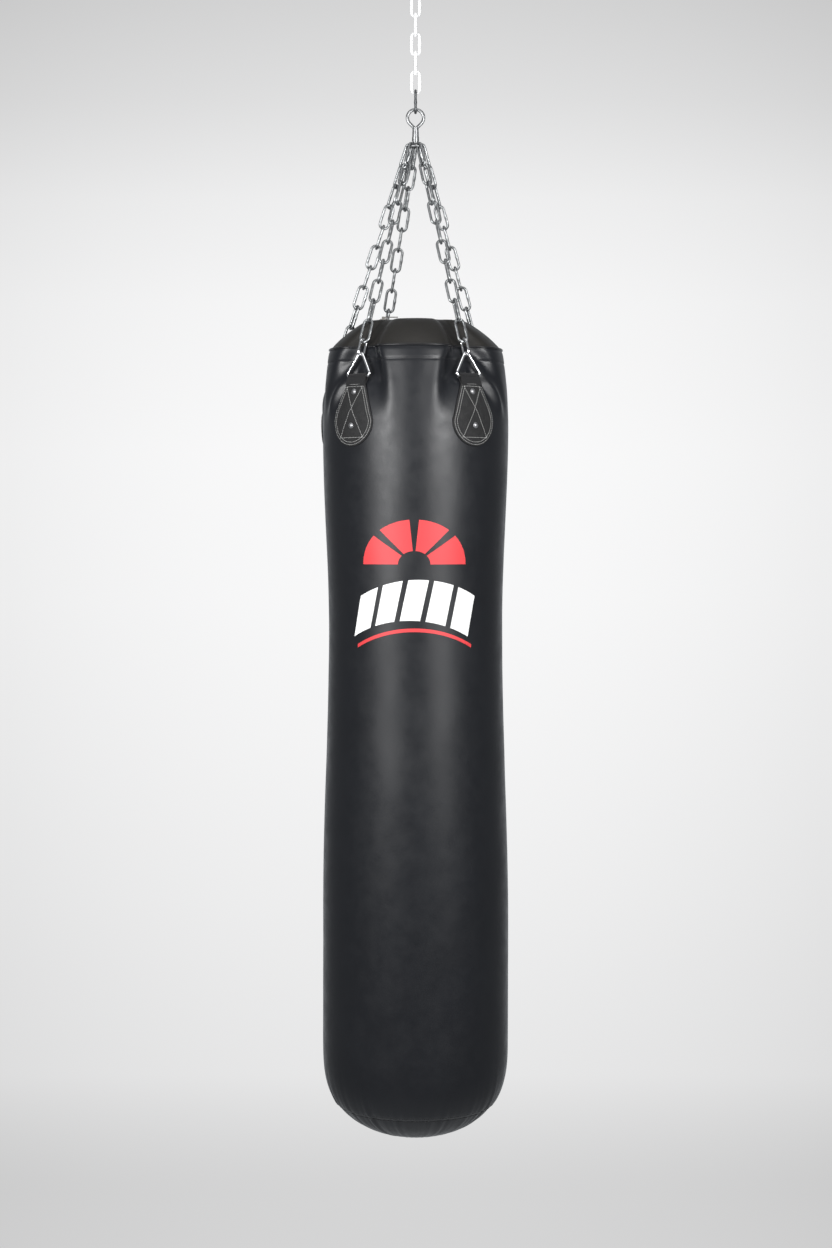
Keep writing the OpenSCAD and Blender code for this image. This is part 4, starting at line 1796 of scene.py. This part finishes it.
@dataclass
class ChainWork:
    """The welded chains: one above the swivel and five legs below it."""

    top_wire: float = 0.005
    top_width: float = 0.010
    top_links: int = 7
    leg_links: int = 10
    leg_wire: float = 0.005
    leg_width: float = 0.012
    first_width: float = 0.007
    play: float = 0.0002
    connector_length: float = 0.027
    crown_r: float = 0.0125
    crown_wire: float = 0.0044
    ring_wire: float = 0.0052
    ring_apex: Point = (0.150, 1.4664)
    twist: Point = (0.0, 0.25, 0.5, 0.75, 1.0, 1.0, 1.0, 0.85, 0.7, 0.45, 0.0)

    def hung(
        self,
        name: str,
        body: str,
        nodes: Sequence[str],
        parts: Sequence[tuple],
        wire: float,
        finish: Finish = Finish.CHAIN_STEEL,
    ) -> bpy.types.Object:
        """Builds the links of one chain.

        Args:
            name: the new piece's name.
            body: the CAD body that it rides on.
            nodes: the CAD nodes that it stands for.
            parts: middle, way up, way across, clear length and clear width of each link.
            wire: the wire's diameter.
            finish: what the links are made of.

        Returns:
            The chain.
        """
        tree = link_tree()
        groups = {}
        for middle, up, across, length, width in parts:
            groups.setdefault((round(length, 5), round(width, 5)), []).append((middle, up, across))
        made = []
        for (length, width), links in groups.items():
            middles, ups, ways = (np.array(column) for column in zip(*links))
            sizes = {"Clear_length": length, "Clear_width": width, "Wire": wire}
            made.append(tree.run(name, middles, finish, ways, ups, **sizes))
            face_outwards(made[-1])
        chain = joined(name + "_chain", made)
        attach(chain, body)
        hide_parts(*nodes)
        return chain

    def top_part(self, number: int) -> tuple:
        """Where one top link hangs, from its CAD node.

        Args:
            number: the link's number, from the top.

        Returns:
            Its middle, way up, way across, clear length and clear width.
        """
        low, high = (np.array(corner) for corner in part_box(f"top_link_{number}"))
        size = high - low
        right, back, up = np.eye(3)
        across = right if size[0] > size[1] else back
        return (low + high) / 2, up, across, size[2] - 2 * self.top_wire, self.top_width

    def leg_parts(self, strap: Strap) -> list[tuple]:
        """Where the links of one leg hang.

        Args:
            strap: the strap at the leg's foot.

        Returns:
            Middle, way up, way across, clear length and clear width of each link.
        """
        crown_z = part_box("crown_ring")[0][2] + self.crown_wire / 2
        start_turn, end_turn = math.radians(CROWN_TURN[strap]), math.radians(STRAP_TURN[strap])
        start = np.array(
            [self.crown_r * math.sin(start_turn), -self.crown_r * math.cos(start_turn), crown_z]
        )
        end_r, end_h = self.ring_apex
        end = np.array([end_r * math.sin(end_turn), -end_r * math.cos(end_turn), FORM.z(end_h)])
        way = unit(end - start)
        length = float(np.linalg.norm(end - start))
        pitch = (
            length + self.ring_wire / 2 + self.crown_wire / 2 + self.play - self.connector_length
        ) / self.leg_links
        side = np.array([math.cos(end_turn), math.sin(end_turn), 0.0])
        flat = square_to(side if side[0] > 0 else -side, way)
        front = square_to(np.array([1.0, 0.0, 0.0]), way)
        parts = []
        for i in range(self.leg_links):
            turned = square_to(flat + (front - flat) * self.twist[i], way)
            across = turned if i % 2 else np.cross(way, turned)
            middle = start + way * (pitch * (i + 0.5) - self.crown_wire / 2 - self.play / 2)
            width = self.leg_width if i else self.first_width
            parts.append((middle, -way, across, pitch + self.play, width))
        return parts

    def build(self) -> None:
        """Builds every chain."""
        upper = [self.top_part(number) for number in range(1, self.top_links)]
        names = [f"top_link_{number}" for number in range(1, self.top_links)]
        # The upper chain and its last link take the darker copy of the chain steel, which is painted
        # shade
        dull = Finish.TOP_CHAIN_SHADED_STEEL
        chain = self.hung("upper", "upper_chain", names, upper, self.top_wire, dull)
        LOG.info("upper chain: %d faces", len(chain.data.polygons))
        last = f"top_link_{self.top_links}"
        part = self.top_part(self.top_links)
        chain = self.hung("last_link", "last_link", [last], [part], self.top_wire, dull)
        LOG.info("last link: %d faces", len(chain.data.polygons))
        for strap in Strap:
            name = "leg_" + strap.value
            node = "leg_chain_" + strap.value
            chain = self.hung(name, "bag", [node], self.leg_parts(strap), self.leg_wire)
            LOG.info("%s: %d faces", name, len(chain.data.polygons))


# ---------------------------------------------------------------------------------------------
# Print
# ---------------------------------------------------------------------------------------------


@dataclass
class Print:
    """A plain graphic on the front: a rising sun of four rays over an arch of slanted bars."""

    turn: float = -0.8
    sun_h: float = 1.082
    sun_size: Point = (0.097, 0.081)
    sun_hub: float = 0.3
    rays: int = 4
    ray_gap: float = 5.0
    bars: int = 5
    bar_low: float = 0.950
    bar_tall: float = 0.074
    arch_half: float = 0.112
    arch_rise: float = 0.030
    bar_gap: float = 0.010
    slant: float = 0.016
    line_h: float = 0.936
    line_t: float = 0.0065
    cell: float = 0.009
    proud: Point = (0.00012, 0.00042)

    def arch(self, x: np.ndarray) -> np.ndarray:
        """How far the arch is lifted at a distance across."""
        return self.arch_rise * (1.0 - (np.asarray(x) / self.arch_half) ** 2)

    def sun(self) -> list[np.ndarray]:
        """Outlines of the sun's rays.

        Returns:
            One outline per ray.
        """
        outlines = []
        wide = 180.0 / self.rays
        for ray in range(self.rays):
            low = math.radians(ray * wide + (self.ray_gap if ray else 0.0))
            high = math.radians((ray + 1) * wide - (self.ray_gap if ray < self.rays - 1 else 0.0))
            turns = np.linspace(low, high, 9)
            rim = np.stack([np.cos(turns), np.sin(turns)], axis=1) * np.array(self.sun_size)
            hub = rim[::-1] * self.sun_hub
            outlines.append(np.concatenate([rim, hub]) + np.array([0.0, self.sun_h]))
        return outlines

    def blocks(self) -> list[np.ndarray]:
        """Outlines of the arch's slanted bars.

        Returns:
            One outline per bar.
        """
        outlines = []
        step = (2 * self.arch_half + self.bar_gap) / self.bars
        for bar in range(self.bars):
            left = -self.arch_half + bar * step
            foot = np.linspace(left, left + step - self.bar_gap, 7)
            low = np.stack([foot - self.slant / 2, self.bar_low + self.arch(foot)], axis=1)
            high = low[::-1] + np.array([self.slant, self.bar_tall])
            outlines.append(np.concatenate([low, high]))
        return outlines

    def line(self) -> list[np.ndarray]:
        """Outline of the thin line under the arch.

        Returns:
            The outline, in a list.
        """
        x = np.linspace(-self.arch_half, self.arch_half, 25)
        low = np.stack([x, self.line_h - self.line_t + self.arch(x)], axis=1)
        return [np.concatenate([low, low[::-1] + np.array([0.0, self.line_t])])]

    def inked(self, name: str, outlines: Sequence[np.ndarray], ink: Finish) -> bpy.types.Object:
        """Lays outlines on the cover as a thin coat.

        Args:
            name: the new piece's name.
            outlines: paths of distance across and height.
            ink: the ink.

        Returns:
            The coat.
        """
        work = bmesh.new()
        for outline in outlines:
            work.faces.new([work.verts.new((x, y, 0.0)) for x, y in outline])
        for axis in (0, 1):
            places = np.array([v.co[axis] for v in work.verts])
            normal = Vector((1.0, 0.0, 0.0)) if axis == 0 else Vector((0.0, 1.0, 0.0))
            for at in np.arange(places.min() + self.cell, places.max(), self.cell):
                geometry = list(work.verts) + list(work.edges) + list(work.faces)
                bmesh.ops.bisect_plane(work, geom=geometry, plane_co=normal * at, plane_no=normal)
        bmesh.ops.triangulate(work, faces=work.faces)
        work.normal_update()
        for face in work.faces:
            if face.normal.z < 0:
                face.normal_flip()
        work.verts.index_update()
        flat = np.array([v.co[:2] for v in work.verts])
        count = len(flat)
        front = [[v.index for v in face.verts] for face in work.faces]
        faces = front + [[v + count for v in reversed(face)] for face in front]
        for edge in work.edges:
            if edge.is_boundary:
                loop = edge.link_loops[0]
                a, b = loop.vert.index, loop.link_loop_next.vert.index
                faces.append([b, a, a + count, b + count])
        work.free()
        skins = [FORM.laid(self.turn, flat[:, 0], flat[:, 1], off) for off in reversed(self.proud)]
        coat = new_piece(name, np.concatenate(skins), faces, ink)
        face_outwards(coat)
        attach(coat, "bag")
        return coat

    def build(self) -> None:
        """Prints the graphic."""
        for name, outlines, ink in (
            ("print_sun", self.sun(), Finish.INK_RED),
            ("print_arch", self.blocks(), Finish.INK_WHITE),
            ("print_line", self.line(), Finish.INK_RED),
        ):
            LOG.info("%s: %d faces", name, len(self.inked(name, outlines, ink).data.polygons))


# ---------------------------------------------------------------------------------------------
# Metalwork that keeps its CAD shape
# ---------------------------------------------------------------------------------------------


@dataclass
class Metalwork:
    """Gives each metal or zip part that keeps its CAD shape its finish."""

    finishes: dict[str, Finish] = field(
        default_factory=lambda: {
            "ceiling_plate": Finish.PLATE_STEEL,
            "ceiling_bow": Finish.PLATE_STEEL,
            "snap_hook": Finish.HOOK_STEEL,
            "hook_gate": Finish.HOOK_STEEL,
            "gate_pin": Finish.HOOK_STEEL,
            "swivel_eye": Finish.SWIVEL_STEEL,
            "swivel_nut": Finish.SWIVEL_STEEL,
            "thrust_washer": Finish.WASHER_BRASS,
            "swivel_barrel": Finish.SWIVEL_STEEL,
            "crown_ring": Finish.SWIVEL_STEEL,
            "connector_link": Finish.RING_CHROME,
            "triangle_ring": Finish.RING_CHROME,
            "zip_tape": Finish.ZIP_TAPE,
            "zip_teeth": Finish.ZIP_METAL,
            "zip_slider": Finish.ZIP_METAL,
            "zip_pull": Finish.ZIP_METAL,
        }
    )

    def finish_of(self, node: str) -> Finish | None:
        """The finish of a CAD node, by its name or the start of it.

        Args:
            node: the node's name.

        Returns:
            The finish, or None where the node keeps its own.
        """
        for start, finish in self.finishes.items():
            if node == start or node.startswith(start + "_"):
                return finish
        return None

    def dress(self) -> None:
        """Sets the materials."""
        for name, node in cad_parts.items():
            finish = self.finish_of(name)
            if finish is None:
                continue
            if not node.data.materials:
                node.data.materials.append(None)
            for number in range(len(node.data.materials)):
                node.data.materials[number] = finish.material()
            LOG.info("%s: %s", name, finish.value.name)


# ---------------------------------------------------------------------------------------------
# Studio
# ---------------------------------------------------------------------------------------------


# Painted light on the glowing backdrop: its emitted brightness, by its share of the height from the
# floor to the wall's upper part
BACKDROP_GLOW_LEVELS = (
    (0.0, 0.66),
    (0.055, 0.80),
    (0.19, 0.86),
    (0.32, 0.905),
    (0.45, 0.945),
    (0.58, 0.96),
    (0.71, 0.93),
    (0.80, 0.865),
    (0.886, 0.745),
    (0.97, 0.66),
)


@dataclass
class Studio:
    """Pale floor and backdrop, soft light and the camera."""

    eye: Point = (0.0009, -4.3, -1.129)
    tip: float = -2.31
    lens: float = 65.97
    floor_z: float = -4.4
    wall_y: float = 8.5
    half_width: float = 12.0
    front_y: float = -9.0
    wall_top: float = 7.0
    sweep_r: float = 1.6
    room_light: float = 0.24
    wall_light: float = 0.9
    floor_light: float = 0.34

    def backdrop_material(self) -> bpy.types.Material:
        """A glowing sheet with painted light: brightest in its middle, darker towards the floor and
        the top, and a little darker to the sides.

        Returns:
            The material.
        """
        shader = Shader("backdrop_painted_glow", (0.8, 0.8, 0.8), 1.0)
        parts = shader.node("ShaderNodeSeparateXYZ", {"Vector": shader.place()})
        ramp = shader.node("ShaderNodeValToRGB")
        height = shader.spread(parts.outputs[2], 0.0, 1.0, self.floor_z, 2.0)
        shader.tree.links.new(height, ramp.inputs["Fac"])
        elements = ramp.color_ramp.elements
        while len(elements) < len(BACKDROP_GLOW_LEVELS):
            elements.new(0.5)
        for element, (place, level) in zip(elements, BACKDROP_GLOW_LEVELS):
            element.position = place
            element.color = (level, level, level * 1.004, 1.0)
        shader.set("Base Color", (0.0, 0.0, 0.0, 1.0))
        shader.set("Specular IOR Level", 0.0)
        shader.link(ramp.outputs["Color"], "Emission Color")
        # Painted falloff of light: the glow dims a little towards the sides
        beside = shader.math("MULTIPLY", parts.outputs[0], parts.outputs[0])
        shader.link(shader.spread(beside, 1.0, 0.9, 0.0, 5.2), "Emission Strength")
        return shader.material

    def backdrop(self) -> bpy.types.Object:
        """Builds the floor and wall as one sheet.

        Returns:
            The sheet.
        """
        turns = np.linspace(0.0, np.pi / 2, 13)
        centre_y, centre_z = self.wall_y - self.sweep_r, self.floor_z + self.sweep_r
        profile = [(self.front_y, self.floor_z)]
        for a in turns:
            across, up = self.sweep_r * math.sin(a), -self.sweep_r * math.cos(a)
            profile.append((centre_y + across, centre_z + up))
        profile.append((self.wall_y, self.wall_top))
        points = [(side * self.half_width, y, z) for y, z in profile for side in (-1, 1)]
        faces = [(2 * i, 2 * i + 1, 2 * i + 3, 2 * i + 2) for i in range(len(profile) - 1)]
        mesh = bpy.data.meshes.new("backdrop")
        mesh.from_pydata(points, [], faces)
        mesh.shade_smooth()
        mesh.materials.append(self.backdrop_material())
        sheet = bpy.data.objects.new("backdrop", mesh)
        bpy.context.scene.collection.objects.link(sheet)
        sheet.visible_glossy = False
        sheet.visible_diffuse = False
        return sheet

    def softbox(
        self,
        name: str,
        turn: float,
        distance: float,
        z: float,
        size: Point,
        power: float,
        aim_z: float,
    ) -> bpy.types.Object:
        """Hangs a soft light that faces the bag.

        Args:
            name: the light's name.
            turn: its place round the bag, in degrees from the front.
            distance: how far it is from the bag's axis.
            z: its height.
            size: width and height.
            power: watts.
            aim_z: the height that it faces.

        Returns:
            The light.
        """
        data = bpy.data.lights.new(name, "AREA")
        data.shape = "RECTANGLE"
        data.size, data.size_y = size
        data.energy = power
        light = bpy.data.objects.new(name, data)
        around = math.radians(turn)
        light.location = (distance * math.sin(around), -distance * math.cos(around), z)
        aim = Vector((0.0, 0.0, aim_z)) - light.location
        light.rotation_euler = aim.to_track_quat("-Z", "Y").to_euler()
        light.visible_camera = False
        bpy.context.scene.collection.objects.link(light)
        return light

    def world(self) -> None:
        """Sets a pale surround that gives only a little light."""
        world = bpy.data.worlds.new("studio")
        world.use_nodes = True
        world.node_tree.nodes.clear()
        work = Nodes(world.node_tree)
        seen = work.node("ShaderNodeBackground", {"Color": (0.82, 0.82, 0.825, 1.0)})
        place = work.node("ShaderNodeTexCoord")
        parts = work.node("ShaderNodeSeparateXYZ", {0: place.outputs["Generated"]})
        wall = work.spread(parts.outputs[1], self.room_light, self.wall_light, 0.72, 0.95)
        floor = work.spread(parts.outputs[2], 0.0, self.floor_light, -0.40, -0.90)
        lit = work.node(
            "ShaderNodeBackground",
            {"Color": (0.93, 0.96, 1.0, 1.0), "Strength": work.math("ADD", wall, floor)},
        )
        path = work.node("ShaderNodeLightPath")
        mix = work.node(
            "ShaderNodeMixShader",
            {0: path.outputs["Is Camera Ray"], 1: lit.outputs[0], 2: seen.outputs[0]},
        )
        work.node("ShaderNodeOutputWorld", {"Surface": mix.outputs[0]})
        bpy.context.scene.world = world
        bpy.context.scene.view_settings.view_transform = "Standard"

    def camera(self) -> bpy.types.Object:
        """Sets the camera.

        Returns:
            The camera.
        """
        data = bpy.data.cameras.new("camera")
        data.lens = self.lens
        data.sensor_width = 36.0
        camera = bpy.data.objects.new("camera", data)
        camera.location = self.eye
        camera.rotation_euler = (math.radians(90.0 + self.tip), 0.0, 0.0)
        bpy.context.scene.collection.objects.link(camera)
        bpy.context.scene.camera = camera
        return camera

    def build(self) -> None:
        """Builds the studio."""
        self.camera()
        self.backdrop()
        self.world()
        self.softbox("key_left", -35.0, 2.6, -0.66, (1.1, 0.95), 70.0, -1.0)
        self.softbox("key_right", 33.0, 2.6, -0.66, (1.1, 0.95), 64.0, -1.0)
        self.softbox("top_fill", 0.0, 1.0, 1.6, (1.6, 1.6), 16.0, -0.9)


def main() -> None:
    """Builds the scene."""
    logging.basicConfig(level=logging.INFO, format="%(name)s: %(message)s")
    Studio().build()
    Metalwork().dress()
    Cover().build()
    Stuffing().build()
    StrapSet().build()
    ChainWork().build()
    Print().build()


if __name__ == "__main__":
    main()
